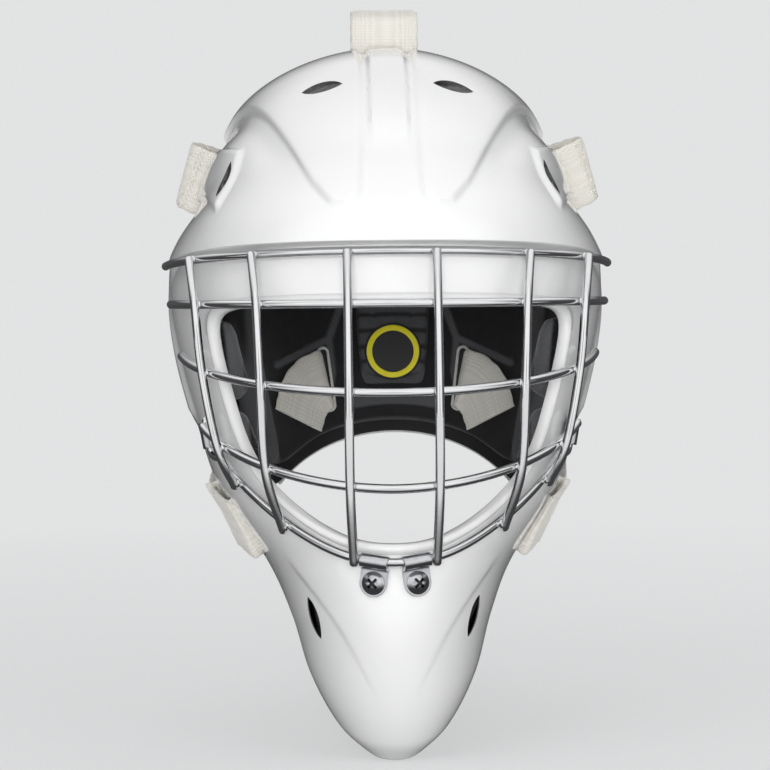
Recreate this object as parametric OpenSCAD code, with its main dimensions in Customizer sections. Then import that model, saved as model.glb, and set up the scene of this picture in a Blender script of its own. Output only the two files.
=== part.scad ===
// Hockey goalie mask: shell with a wire face cage, foam padding, chin sling
// and a back plate on five elastic straps. Millimetres.
// The mask looks along -Y, +Z is up and +X is the wearer's left hand.
// The origin is the middle of the wearer's head, level with the eyes.

/* [Overall size] */
// Width of the shell over its brow shelf
mask_width = 229; // [205:1:250]
// Height of the shell from the chin point to the crown
mask_height = 348; // [315:1:380]
// Depth of the shell side, from the brow band to the temple edge
mask_depth = 145; // [130:1:160]

/* [Shell] */
// Thickness of the laminated shell wall
shell_wall = 4; // [3:0.25:5]
// How far the brow shelf stands out over the cage at the centre
brow_overhang = 11; // [9.5:0.5:13]
// How far the brow shelf stands out at the temples
temple_overhang = 4.5; // [3:0.5:6]
// Height of the rolled lip round the face opening
lip_height = 1.6; // [0.5:0.1:2]
// Height of the raised panels and the centre ridge on the forehead
panel_height = 2.5; // [1:0.25:3.5]
// Depth of the channels beside the raised panels
channel_depth = 2; // [0.5:0.25:3]
// Height of the raised panel on the chin
chin_relief = 1.2; // [0.5:0.1:2]
// Height of the thickened flange along the rear edge
flange_relief = 2; // [1:0.25:3]
// Height of the bosses round the upper strap slots
boss_height = 2; // [1:0.25:3]

/* [Vents] */
// Length of a forehead vent
brow_vent_length = 21; // [14:0.5:24]
// Width of a forehead vent
brow_vent_width = 9; // [5:0.5:11]
// Length of a temple vent
temple_vent_length = 20; // [14:0.5:22]
// Width of a temple vent
temple_vent_width = 7; // [5:0.5:8]
// Length of a chin vent
chin_vent_length = 20; // [14:0.5:22]
// Width of a chin vent
chin_vent_width = 9; // [5:0.5:10]

/* [Cage] */
// Diameter of the steel wire
wire_d = 4.2; // [3.8:0.1:4.4]
// Gap between the shell and the frame wire
frame_gap = 2.2; // [1.8:0.1:2.8]
// How deep the uprights are welded into the cross wires
weld_depth = 0.3; // [0.1:0.05:0.5]
// Length of an upright past the wire at each end
upright_tail = 1.6; // [0.8:0.1:1.8]

/* [Clips and screws] */
// Width of a cage clip
clip_width = 12.7; // [11:0.1:14]
// Thickness of a clip's steel
clip_gauge = 1.2; // [0.9:0.1:1.4]
// Gap between a clip's hook and its wire
clip_clearance = 0.55; // [0.5:0.05:0.7]
// Diameter of a screw's shank
screw_d = 4; // [3.5:0.1:4.5]
// Diameter of a screw's head
screw_head_d = 10.6; // [9:0.1:11]
// Height of a screw's head
screw_head_h = 2.4; // [2.2:0.1:3]
// Diameter of a nut's flange inside the shell
nut_flange_d = 12; // [11:0.5:15]
// Running gap between a screw, its nut and its holes
screw_clearance = 0.06; // [0.04:0.01:0.1]

/* [Padding] */
// Thickness of the forehead and crown pads
brow_pad_thickness = 13; // [9:0.5:15]
// Thickness of the cheek pads at the sides of the face
cheek_pad_thickness = 20; // [14:0.5:22]
// Thickness of the temple and jaw pads
side_pad_thickness = 12; // [8:0.5:14]
// Thickness of the sweatband
sweatband_thickness = 8; // [5:0.5:10]
// Gap between a pad and what carries it
pad_gap = 0.3; // [0.2:0.05:0.5]

/* [Chin sling] */
// Length of the chin cup from side to side
chin_cup_width = 66; // [58:1:72]
// Front to back depth of the chin cup
chin_cup_depth = 38; // [30:1:44]
// Thickness of the chin cup's foam
chin_cup_thickness = 7; // [5:0.5:9]
// Width of the sling's straps
sling_width = 19; // [15:0.5:22]
// Thickness of the sling's straps
sling_thickness = 1.6; // [1.2:0.1:2]
// Diameter of a snap's post
snap_post_d = 5; // [4:0.1:6]
// Outer diameter of a snap's socket
snap_socket_d = 12; // [10:0.5:14]

/* [Back plate] */
// Thickness of the moulded back plate
plate_wall = 2.5; // [2:0.25:3.5]
// Thickness of the back plate's foam liner
liner_thickness = 12; // [9:0.5:14]
// Height of the padded centre panel's ribs
rib_height = 1.2; // [0.6:0.1:1.8]
// Number of ribs on the centre panel
rib_count = 6; // [4:1:8]
// How far the loosely strapped plate hangs towards the wearer's left
plate_shift = 6; // [0:0.5:8]
// Outer diameter of the badge
badge_d = 33; // [26:1:36]
// Width of the badge's coloured ring
badge_ring_width = 3.2; // [2:0.1:5]

/* [Straps] */
// Width of the knitted elastic
strap_width = 34; // [30:1:38]
// Thickness of the knitted elastic
strap_thickness = 2.2; // [1.6:0.1:2.4]
// Room round a strap in its slot
strap_clearance = 1.3; // [1:0.1:1.6]
// How far a side strap's fold stands out from the shell
strap_fold = 14; // [11:0.5:16]
// How far the top strap's fold stands up from the crown
crown_fold = 21; // [16:0.5:24]

/* [Hidden] */

$fn = 48;
wire_r = wire_d / 2;
half_strap = strap_thickness / 2;
slot_width = strap_thickness + 2 * strap_clearance;
slot_length = strap_width + 2 * strap_clearance;
// The drawn stations below are a mask of this width, depth and height
drawn_size = [229, 145, 348];
fit = [mask_width / drawn_size.x, mask_depth / drawn_size.y, mask_height / drawn_size.z];

// Small helpers
function ease(t) = let (c = min(max(t, 0), 1)) c * c * (3 - 2 * c);
function unit(v) = v / norm(v);
function sized(p) = [p.x * fit.x, p.y * fit.y, p.z * fit.z];
function sgn_pow(v, p) = sign(v) * pow(abs(v), p);

// A smooth row between the rows of a table whose first column rises
function row_at(rows, s, i = 0) =
    i >= len(rows) - 2 || s < rows[i + 1][0] ? i : row_at(rows, s, i + 1);
function slope(rows, i) =
    let (lo = max(i - 1, 0), hi = min(i + 1, len(rows) - 1))
    (rows[hi] - rows[lo]) / (rows[hi][0] - rows[lo][0]);
function station(rows, s) =
    let (i = row_at(rows, s), h = rows[i + 1][0] - rows[i][0], t = (s - rows[i][0]) / h)
    (2 * t * t * t - 3 * t * t + 1) * rows[i] + (t * t * t - 2 * t * t + t) * h * slope(rows, i)
    + (3 * t * t - 2 * t * t * t) * rows[i + 1] + (t * t * t - t * t) * h * slope(rows, i + 1);

// A point on an arch: a runs from -1 to 1 across it, s picks the station
function arch_point(rows, a, s) =
    let (k = station(rows, min(max(s, 0), 1)), angle = a * k[7], e = 2 / k[6],
         x = k[5] * sgn_pow(sin(angle) / sin(k[7]), e),
         q = (1 - pow(abs(cos(angle)), e)) / (1 - pow(abs(cos(k[7])), e)))
    sized([x, k[1] + (k[3] - k[1]) * q, k[2] + (k[4] - k[2]) * q]);

// Shell stations from the chin point to the crown:
// place, front y, front z, edge y, edge z, half width, squareness, sweep in degrees
SHELL = [
    [0.00, -94, -175, -84, -173, 12, 2.0, 80],
    [0.05, -108, -164, -76, -160, 27, 2.0, 76],
    [0.12, -120, -143, -66, -138, 40, 2.0, 74],
    [0.20, -126, -112, -50, -112, 49, 2.05, 74],
    [0.28, -126, -84, -23, -88, 62, 2.1, 76],
    [0.36, -122, -50, -21, -52, 85.5, 2.2, 78],
    [0.44, -119, -15, 6, -20, 99, 2.3, 80],
    [0.52, -117, 20, 20, 15, 109.5, 2.35, 82],
    [0.60, -117, 52, 26, 50, 114.5, 2.3, 84],
    [0.66, -117, 78, 28, 68, 108.5, 2.3, 84],
    [0.73, -112, 105, 28, 82, 101, 2.2, 85],
    [0.81, -94, 133, 26, 97, 96, 2.1, 86],
    [0.89, -62, 156, 22, 111, 89, 1.95, 87],
    [0.95, -26, 168, 18, 119, 86, 1.88, 88],
    [1.00, 12, 172.5, 14, 124, 84, 1.85, 88]
];
shelf_s = 0.628;
// The inner wall steps out one wall thickness above the shelf
station_run = 433 * fit.z;
inner_shelf_s = shelf_s + shell_wall / station_run;

function base(a, s) = arch_point(SHELL, a, s);
function outward(rows, a, s) =
    let (e = 0.002, s1 = min(s + e, 1), s0 = max(s - e, 0))
    unit(cross(arch_point(rows, a + e, s) - arch_point(rows, a - e, s),
               arch_point(rows, a, s1) - arch_point(rows, a, s0)));

// How far the brow stands out, with its step at the given station.
// The step is sharp in front and fades into the rear edge
function overhang(a, s, step) =
    let (soft = 0.06 * ease((abs(a) - 0.80) / 0.09))
    (brow_overhang + (temple_overhang - brow_overhang) * pow(sin(a * 90), 2))
    * ease((s - step + 0.001 + soft / 2) / (0.003 + soft)) * (1 - ease((s - step - 0.01) / 0.12));

// Raised forehead panels, centre ridge and side channels, chin panel and rear flange
function chin_panel(a, s) =
    ease((0.30 + (s - 0.174) * 2.8 - abs(a)) / 0.06 + 0.5) * ease((s - 0.10) / 0.10)
    * (1 - ease((s - 0.27) / 0.03));
function rear_flange(a, s) =
    ease((abs(a) - 0.885) / 0.05) * ease((s - 0.44) / 0.02) * (1 - ease((s - 0.52) / 0.12));
function relief(a, s) =
    let (x = abs(base(a, s).x), rise = min(max((s - 0.675) / 0.188, 0), 2),
         outer = fit.x * (27 + 38 * pow(rise, 0.8)),
         inner = fit.x * (18 - 5 * ease((s - 0.67) / 0.08)),
         panel = ease((outer - x) / 3 + 0.5) * ease((x - inner) / 3 + 0.5) * ease((s - 0.672) / 0.018),
         ridge = ease((9 * fit.x - x) / 3 + 0.5) * ease((s - 0.73) / 0.05),
         channel = exp(-pow((x - outer - 9) / 9, 2)) * ease((s - 0.68) / 0.08))
    panel_height * max(panel, ridge) - channel_depth * channel
    + chin_relief * chin_panel(a, s) + flange_relief * rear_flange(a, s);

// Points on the outside and the inside of the shell
function outside(a, s, off = 0) =
    base(a, s) + outward(SHELL, a, s) * (overhang(a, s, shelf_s) + relief(a, s) + off);
function inside(a, s, depth) =
    base(a, s) + outward(SHELL, a, s) * (overhang(a, s, inner_shelf_s) - depth);

// Closed contours on the shell, each a rounded rectangle in (a, s):
// half width, reach up, reach down, squareness above and below
face_s = 0.45;
CONTOURS = [
    [0.56, 0.113, 0.138, 9, 2.2],
    [0.59, 0.125, 0.151, 9, 2.2],
    [0.93, 0.195, 0.30, 14, 2.5],
    [1.00, 1 - face_s, face_s, 12, 6]
];
function on_contour(i, turn) =
    let (c = CONTOURS[i], far = max(abs(cos(turn)), abs(sin(turn))),
         x = cos(turn) / far, y = sin(turn) / far, m = y >= 0 ? c[3] : c[4],
         k = pow(pow(abs(x), m) + pow(abs(y), m), -1 / m))
    [c[0] * x * k, min(face_s + (y >= 0 ? c[1] : c[2]) * y * k, i < 3 ? shelf_s : 1)];
function between(c, turn) =
    let (i = min(floor(c), 2), t = c - i)
    on_contour(i, turn) * (1 - t) + on_contour(i + 1, turn) * t;

// The shell's wall as a closed section: contour place, share of the lip, depth in walls
LIP = [[0, 0, 0.5], [0.15, 0.5, 0], [0.5, 1, 0], [1, 0, 0]];
brow_rows = 13;
OUTER = concat(LIP, [for (c = [1.3, 1.62, 1.98]) [c, 0, 0]], [[2.008, 0, 0]],
    [for (k = [0:brow_rows]) [2.06 + 0.925 * k / brow_rows, 0, 0]], [[3, 0, 0.3]]);
INNER = concat([[3, 0, 0.7]],
    [for (c = [2.985, 2.87, 2.74, 2.61, 2.48, 2.35, 2.22, 2.15, 2.09, 2.035, 2.022, 1.66, 1.3, 0.8]) [c, 0, 1]],
    [[0.1, 0, 0.9]]);
shell_turns = 100;
function wall_point(k, turn) =
    k < len(OUTER) ? let (c = OUTER[k], q = between(c[0], turn))
                     outside(q.x, q.y, c[1] * lip_height - c[2] * shell_wall)
                   : let (c = INNER[k - len(OUTER)], q = between(c[0], turn))
                     inside(q.x, q.y, c[2] * shell_wall);

// A closed ring of closed sections, such as the shell's wall
module ring_solid(points, turns, rings) {
    faces = [for (i = [0:turns - 1], k = [0:rings - 1])
        let (j = (i + 1) % turns, m = (k + 1) % rings)
        each [[i * rings + k, j * rings + k, i * rings + m],
              [j * rings + k, j * rings + m, i * rings + m]]];
    polyhedron(points, faces, 10);
}

// A closed slab between two grids of points, each (nu + 1) by (nv + 1).
// The top grid is on the side that u cross v points to
module slab(top, bottom, nu, nv) {
    w = nv + 1;
    n = (nu + 1) * w;
    function cell(i, j) = i * w + j;
    upper = [for (i = [0:nu - 1], j = [0:nv - 1])
        each [[cell(i, j), cell(i + 1, j + 1), cell(i + 1, j)],
              [cell(i, j), cell(i, j + 1), cell(i + 1, j + 1)]]];
    lower = [for (f = upper) [f[0] + n, f[2] + n, f[1] + n]];
    rim = concat([for (i = [0:nu]) cell(i, 0)], [for (j = [1:nv]) cell(nu, j)],
                 [for (i = [nu - 1:-1:0]) cell(i, nv)], [for (j = [nv - 1:-1:1]) cell(0, j)]);
    side = [for (k = [0:len(rim) - 1])
        let (p = rim[k], q = rim[(k + 1) % len(rim)])
        each [[p, q, p + n], [q, q + n, p + n]]];
    polyhedron(concat(top, bottom), concat(upper, lower, side), 10);
}

// A round tube along points, capped at both ends
function tangent(p, i) = unit(p[min(i + 1, len(p) - 1)] - p[max(i - 1, 0)]);
module tube(path, r, side_dir, sides = 8) {
    n = len(path);
    points = [for (i = [0:n - 1])
        let (t = tangent(path, i), u = unit(cross(t, side_dir)), v = cross(t, u))
        for (k = [0:sides - 1]) path[i] + r * (cos(k * 360 / sides) * u + sin(k * 360 / sides) * v)];
    walls = [for (i = [0:n - 2], k = [0:sides - 1])
        let (m = (k + 1) % sides)
        each [[i * sides + k, (i + 1) * sides + k, i * sides + m],
              [i * sides + m, (i + 1) * sides + k, (i + 1) * sides + m]]];
    caps = [for (k = [1:sides - 2])
        each [[0, k, k + 1],
              [(n - 1) * sides, (n - 1) * sides + k + 1, (n - 1) * sides + k]]];
    polyhedron(points, concat(walls, caps), 10);
}

// A smooth line through points, with steps parts to each span
function through(p, i) = p[min(max(i, 0), len(p) - 1)];
function curve(p, steps) = [
    for (i = [0:len(p) - 2], k = [0:steps - 1]) curve_point(p, i, k / steps), p[len(p) - 1]];
function curve_point(p, i, t) =
    0.5 * (2 * through(p, i) + (through(p, i + 1) - through(p, i - 1)) * t
    + (2 * through(p, i - 1) - 5 * through(p, i) + 4 * through(p, i + 1) - through(p, i + 2)) * t * t
    + (3 * through(p, i) - through(p, i - 1) - 3 * through(p, i + 1) + through(p, i + 2)) * t * t * t);

// Puts children on a frame: z along the first direction, x near the second
module placed(p, z, x) {
    w = unit(z);
    v = unit(cross(w, x));
    u = cross(v, w);
    multmatrix([[u.x, v.x, w.x, p.x], [u.y, v.y, w.y, p.y], [u.z, v.z, w.z, p.z], [0, 0, 0, 1]])
        children();
}
module both_sides() {
    children();
    mirror([1, 0, 0]) children();
}
function along_s(rows, a, s) = unit(arch_point(rows, a, s + 0.01) - arch_point(rows, a, s - 0.01));
function along_a(rows, a, s) = unit(arch_point(rows, a + 0.01, s) - arch_point(rows, a - 0.01, s));

// Places on the shell, as [a, s]
brow_vent_at = [0.214, 0.838];
temple_vent_at = [0.555, 0.735];
chin_vent_at = [0.60, 0.212];
chin_screw_at = [0.1065, 0.268];
side_screw_at = [0.768, 0.428];
upper_slot_at = [0.925, 0.832];
lower_slot_at = [0.895, 0.321];
crown_slot_at = [0, 0.962];
// The way each slot's length runs, before it is laid into the surface
upper_slot_dir = [-0.35, -0.24, 0.91];
lower_slot_dir = [0.42, -0.32, 0.85];
crown_slot_dir = [-1, 0, 0];
// The upper strap slots stand in bosses that reach from round the temple vent to the edge
boss_from = [0.51, 0.672];
boss_to = [0.985, 0.785];
boss_slant = 0.262;
cut_depth = 24;
nut_hole_r = screw_d / 2 + 1.1;

// A pointed oval hole, as long and wide as given, cut along z
module lens_cut(length, width) {
    r = (pow(length / 2, 2) + pow(width / 2, 2)) / width;
    linear_extrude(cut_depth, center = true) intersection() {
        translate([0, r - width / 2]) circle(r, $fn = 96);
        translate([0, width / 2 - r]) circle(r, $fn = 96);
    }
}
// A round-ended slot for a strap, cut along z with its length along x
module strap_cut(depth) {
    cube([slot_length - slot_width, slot_width, depth], center = true);
    for (side = [-1, 1]) translate([side * (slot_length - slot_width) / 2, 0, 0])
        cylinder(depth, d = slot_width, center = true);
}
module on_shell(at, x) {
    placed(base(at.x, at.y), outward(SHELL, at.x, at.y), x) children();
}

// A raised patch of the outside, sunk half a wall deep
module raised_patch(from, to, height, nu = 6, nv = 4) {
    grid = [for (i = [0:nu], j = [0:nv])
        [from.x + (to.x - from.x) * i / nu,
         from.y + (to.y - from.y) * j / nv + boss_slant * (to.x - from.x) * i / nu,
         i > 0 && j > 0 && j < nv ? height : 0]];
    slab([for (g = grid) outside(g[0], g[1], g[2] + 0.1)],
         [for (g = grid) outside(g[0], g[1], -shell_wall / 2)], nu, nv);
}

module shell() {
    rings = len(OUTER) + len(INNER);
    color("white") difference() {
        union() {
            ring_solid([for (i = [0:shell_turns - 1], k = [0:rings - 1])
                wall_point(k, i * 360 / shell_turns)], shell_turns, rings);
            both_sides() raised_patch(boss_from, boss_to, boss_height);
        }
        both_sides() {
            on_shell(brow_vent_at, along_a(SHELL, brow_vent_at.x, brow_vent_at.y))
                lens_cut(brow_vent_length, brow_vent_width);
            on_shell(temple_vent_at, along_s(SHELL, temple_vent_at.x, temple_vent_at.y))
                lens_cut(temple_vent_length, temple_vent_width);
            on_shell(chin_vent_at, along_s(SHELL, chin_vent_at.x, chin_vent_at.y))
                lens_cut(chin_vent_length, chin_vent_width);
            on_shell(upper_slot_at, upper_slot_dir) strap_cut(cut_depth);
            on_shell(lower_slot_at, lower_slot_dir) strap_cut(cut_depth);
            on_shell(chin_screw_at, [1, 0, 0]) cylinder(cut_depth, r = nut_hole_r, center = true);
            on_shell(side_screw_at, [0, 0, 1]) cylinder(cut_depth, r = nut_hole_r, center = true);
        }
        on_shell(crown_slot_at, crown_slot_dir) strap_cut(cut_depth);
    }
}

// Cross wires: front y, front z, half width, depth, squareness, tilt, sweep, as drawn
HOOPS = [
    [-122, 60.5, 113, 112, 2.0, 0, 80],
    [-130, 36.3, 110, 116, 2.15, 3, 78],
    [-137, -3.5, 104.5, 116, 2.0, 12, 78],
    [-136, -46, 97, 108, 1.85, 21.7, 70]
];
function hoop_point(h, angle) =
    let (e = 2 / h[4], back = h[3] * (1 - pow(abs(cos(angle)), e)))
    sized([h[2] * sgn_pow(sin(angle), e), h[0] + back * cos(h[5]), h[1] + back * sin(h[5])]);
hoop_steps = 13;
function hoop(h) = [for (i = [-hoop_steps:hoop_steps]) hoop_point(h, h[6] * i / hoop_steps)];
module hoop_wire(i) {
    color("silver") tube(hoop(HOOPS[i]), wire_r, [0, 0, 1]);
}
module cage_top_wire() { hoop_wire(0); }
module cage_brow_wire() { hoop_wire(1); }
module cage_eye_wire() { hoop_wire(2); }
module cage_mouth_wire() { hoop_wire(3); }

// The frame wire runs below the face opening from clip to clip. Its ends stand up straight,
// where the side clips hook on from behind
frame_reach = 0.668;
frame_rise = 9;
function frame_s(a) = 0.291 + 0.107 * pow(abs(a) / 0.66, 2.1);
function frame_point(a, off = 0) = outside(a, frame_s(a), frame_gap + wire_r + off);
frame_steps = 18;
function frame_share(t) = sign(t) * (1 - pow(1 - abs(t), 1.7));
side_wire_at = [0.712, 0.428];
side_wire = outside(side_wire_at.x, side_wire_at.y, frame_gap + wire_r);
module cage_frame_wire() {
    half = [for (i = [0:frame_steps]) frame_point(frame_reach * frame_share(i / frame_steps))];
    corner = side_wire - 1.12 * frame_rise * side_up;
    bend = 3;
    end = [corner + unit(half[frame_steps] - corner) * bend, corner + side_up * bend * 0.6,
           side_wire + frame_rise * side_up];
    right = concat(half, end);
    n = len(right);
    color("silver") tube(concat([for (i = [n - 1:-1:1]) [-right[i].x, right[i].y, right[i].z]], right),
        wire_r, [0, 0, 1]);
}

// Uprights cross in front of the other wires, at these distances from the middle:
// on the four cross wires from the top down, then their place on the frame wire
UPRIGHTS = [
    [19.5, 19.5, 19.2, 18.8, 0.158],
    [62, 59.5, 57.5, 55.5, 0.425],
    [92, 88.5, 85, 78, 0.592]
];
function hoop_front(h, x) =
    let (angle = asin(pow(x / h[2], h[4] / 2)),
         along = unit(hoop_point(h, angle + 0.5) - hoop_point(h, angle - 0.5)),
         up = [0, -sin(h[5]), cos(h[5])])
    hoop_point(h, angle) + unit(cross(along, up)) * (wire_d - weld_depth);
function upright_path(u) =
    let (crossings = concat([for (i = [0:3]) hoop_front(HOOPS[i], u[i])],
                            [frame_point(u[4], wire_d - weld_depth)]),
         line = curve(crossings, 3), last = len(line) - 1, tail = wire_r + upright_tail)
    concat([line[0] + unit(line[0] - line[1]) * upright_tail], line,
           [line[last] + unit(line[last] - line[last - 1]) * tail]);
module cage_uprights() {
    color("silver") both_sides() for (u = UPRIGHTS) tube(upright_path(u), wire_r, [1, 0, 0]);
}

// A flat strip bent along a 2D path, as wide as a clip
function strip_offset(p, i, d) =
    let (t = unit(p[min(i + 1, len(p) - 1)] - p[max(i - 1, 0)])) p[i] + d * [-t.y, t.x];
module bent_strip(path, width, gauge) {
    n = len(path);
    rotate([90, 0, 90]) linear_extrude(width, center = true) polygon(concat(
        [for (i = [0:n - 1]) strip_offset(path, i, gauge / 2)],
        [for (i = [n - 1:-1:0]) strip_offset(path, i, -gauge / 2)]));
}
clip_seat = 0.05;
// A clip: a flat tab under the screw, then up and over its wire.
// run is the distance to the wire along y, rise is the wire's height
module clip(run, rise) {
    hook = wire_r + clip_clearance + clip_gauge / 2;
    foot = [screw_head_d / 2 + 0.5, clip_gauge / 2];
    to_foot = foot - [run, rise];
    // The hook starts where the strip from the tab runs tangent to it
    start = atan2(to_foot.y, to_foot.x) + 360 - acos(hook / norm(to_foot));
    finish = -35;
    bends = 12;
    difference() {
        union() {
            bent_strip(concat([[0, foot.y], foot], [for (k = [0:bends])
                let (turn = start + (finish - start) * k / bends)
                [run + hook * cos(turn), rise + hook * sin(turn)]]), clip_width, clip_gauge);
            cylinder(clip_gauge, d = clip_width);
        }
        cylinder(4 * clip_gauge, r = screw_d / 2 + screw_clearance, center = true);
    }
}
// Each clip's own directions: n out of the shell, d from the screw to the wire
chin_n = outward(SHELL, chin_screw_at.x, chin_screw_at.y);
chin_p = outside(chin_screw_at.x, chin_screw_at.y, clip_seat);
// The chin wire bends a little within the clip: its place is halfway to its chord
chin_reach = 0.055;
chin_from = frame_point(chin_screw_at.x - chin_reach);
chin_to = frame_point(chin_screw_at.x + chin_reach);
chin_wire = (chin_from + chin_to) / 4 + frame_point(chin_screw_at.x) / 2;
chin_along = chin_to - chin_from;
chin_d = unit(cross(chin_n, chin_along));
side_n = outward(SHELL, side_screw_at.x, side_screw_at.y);
side_p = outside(side_screw_at.x, side_screw_at.y, clip_seat);
side_d = unit(side_wire - side_p - ((side_wire - side_p) * side_n) * side_n);
side_up = cross(side_d, side_n);
module chin_frame() {
    placed(chin_p, chin_n, cross(chin_d, chin_n)) children();
}
module side_frame() {
    placed(side_p, side_n, side_up) children();
}
module chin_clips() {
    color("silver") both_sides() chin_frame()
        clip((chin_wire - chin_p) * chin_d, (chin_wire - chin_p) * chin_n);
}
module side_clips() {
    color("silver") both_sides() side_frame()
        clip((side_wire - side_p) * side_d, (side_wire - side_p) * side_n);
}

// A round-headed screw with a cross recess, seated on the clip at z = 0
nut_gap = 1;
nut_pocket = 4;
screw_reach = shell_wall + nut_gap + chin_relief + 1;
module screw() {
    head_r = (pow(screw_head_d / 2, 2) + pow(screw_head_h, 2)) / (2 * screw_head_h);
    seat = clip_gauge + 0.02;
    difference() {
        union() {
            translate([0, 0, seat]) intersection() {
                translate([0, 0, screw_head_h - head_r]) sphere(head_r, $fn = 64);
                cylinder(screw_head_h, d = screw_head_d + 1);
            }
            translate([0, 0, -screw_reach]) cylinder(screw_reach + seat + 0.5, d = screw_d);
        }
        translate([0, 0, seat + screw_head_h]) for (turn = [45, 135]) rotate(turn)
            cube([screw_head_d * 0.52, screw_head_d * 0.12, 3.2], center = true);
    }
}
module chin_clip_screws() {
    color("silver") both_sides() chin_frame() screw();
}
module side_clip_screws() {
    color("silver") both_sides() side_frame() screw();
}
// A barrel nut: its flange lies on the shell's inside
module barrel_nut(relief_h) {
    flange = 1.3;
    translate([0, 0, -shell_wall - relief_h - nut_gap]) difference() {
        union() {
            translate([0, 0, -flange]) cylinder(flange, d = nut_flange_d);
            translate([0, 0, -flange]) cylinder(flange + shell_wall * 0.8, r = nut_hole_r - 0.15);
        }
        cylinder(40, r = screw_d / 2 + screw_clearance, center = true);
    }
}
module chin_clip_nuts() {
    color("silver") both_sides() chin_frame() barrel_nut(relief(chin_screw_at.x, chin_screw_at.y));
}
module side_clip_nuts() {
    color("silver") both_sides() side_frame() barrel_nut(relief(side_screw_at.x, side_screw_at.y));
}

// Where the face opening's edge lies at a station
function face_edge(s) =
    let (c = CONTOURS[0], up = s >= face_s, far = abs(s - face_s) / (up ? c[1] : c[2]), m = up ? c[3] : c[4])
    c[0] * pow(max(0, 1 - pow(far, m)), 1 / m);
// A foam pad on the shell's inside between two places, crowned towards the head.
// A pad that follows the face opening starts at a distance from its edge
function puff(u, v) = pow(max(0, (1 - pow(abs(2 * u - 1), 5)) * (1 - pow(abs(2 * v - 1), 5))), 0.4);
facet_sag = 0.7;
module pad(from, to, thickness, nu = 8, nv = 6, follow = false) {
    seat = shell_wall + pad_gap + facet_sag;
    grid = [for (i = [0:nu], j = [0:nv])
        let (s = from.y + (to.y - from.y) * j / nv, start = follow ? face_edge(s) + from.x : from.x)
        [start + (to.x - start) * i / nu, s, i / nu, j / nv]];
    outer = [for (g = grid) inside(g[0], g[1], seat)];
    inner = [for (g = grid) base(g[0], g[1]) - outward(SHELL, g[0], g[1])
        * (seat + thickness * (0.4 + 0.6 * puff(g[2], g[3])))];
    slab(outer, inner, nu, nv);
}
module forehead_pad() { color("dimgray") pad([-0.44, 0.650], [0.44, 0.79], brow_pad_thickness, 14, 7); }
module sweatband() { color("dimgray") pad([-0.46, 0.580], [0.46, 0.622], sweatband_thickness, 14, 4); }
module crown_pad() { color("dimgray") pad([-0.46, 0.865], [0.46, 0.935], brow_pad_thickness, 12, 5); }
module temple_pad() { pad([0.60, 0.652], [0.90, 0.775], side_pad_thickness); }
module cheek_pad() { pad([0.10, 0.458], [0.95, 0.552], cheek_pad_thickness, 8, 7, true); }
// The jaw pad has a pocket for the side clip's nut
module jaw_pad() {
    difference() {
        pad([0.08, 0.380], [0.88, 0.450], side_pad_thickness, 8, 6, true);
        placed(side_p, side_n, [0, 0, 1]) translate([0, 0, -shell_wall - nut_pocket])
            cylinder(cut_depth, d = nut_flange_d + 2);
    }
}
module temple_pad_left() { color("dimgray") temple_pad(); }
module temple_pad_right() { color("dimgray") mirror([1, 0, 0]) temple_pad(); }
module cheek_pad_left() { color("dimgray") cheek_pad(); }
module cheek_pad_right() { color("dimgray") mirror([1, 0, 0]) cheek_pad(); }
module jaw_pad_left() { color("dimgray") jaw_pad(); }
module jaw_pad_right() { color("dimgray") mirror([1, 0, 0]) jaw_pad(); }

// Chin sling: it swings on two posts that stand inside the jaw, on one line along X
stud_at = [0.75, 0.302];
stud_n = outward(SHELL, stud_at.x, stud_at.y);
stud_foot = inside(stud_at.x, stud_at.y, shell_wall + 0.8);
foot_h = 1.4;
post_length = 9;
socket_gap = 0.25;
module stud() {
    placed(stud_foot, -stud_n, [0, 1, 0]) cylinder(foot_h, d = snap_socket_d);
    difference() {
        translate(stud_foot + [foot_h, 0, 0]) rotate([0, -90, 0])
            cylinder(post_length + foot_h, d = snap_post_d);
        placed(stud_foot, stud_n, [0, 1, 0]) translate([0, 0, -foot_h / 4])
            cylinder(3 * foot_h, d = 3 * snap_post_d);
    }
    translate(stud_foot + [-post_length, 0, 0]) rotate([0, -90, 0]) cylinder(1.2, d = snap_post_d + 2.4);
}
module chin_studs() {
    color("silver") both_sides() stud();
}
socket_length = 2.4;
socket_x = stud_foot.x - post_length + socket_gap;
module chin_sockets() {
    color("silver") both_sides() translate([socket_x, stud_foot.y, stud_foot.z]) rotate([0, 90, 0])
        difference() {
            cylinder(socket_length, d = snap_socket_d);
            cylinder(3 * socket_length, d = snap_post_d + 2 * socket_gap, center = true);
        }
}
cup_drop = 42;
cup_y = stud_foot.y;
cup_z = stud_foot.z - cup_drop;
function cup_low(u, v) =
    [u * chin_cup_width / 2, cup_y + v * chin_cup_depth / 2, cup_z + 13 * u * u + 2.5 * v * v];
module chin_cup() {
    nu = 12;
    nv = 6;
    grid = [for (i = [0:nu], j = [0:nv]) [2 * i / nu - 1, 2 * j / nv - 1]];
    low = [for (g = grid) cup_low(g.x, g.y)];
    high = [for (g = grid) cup_low(g.x, g.y)
        + [0, 0, chin_cup_thickness * (0.45 + 0.55 * puff((g.x + 1) / 2, (g.y + 1) / 2))]];
    color("dimgray") slab(high, low, nu, nv);
}
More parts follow.
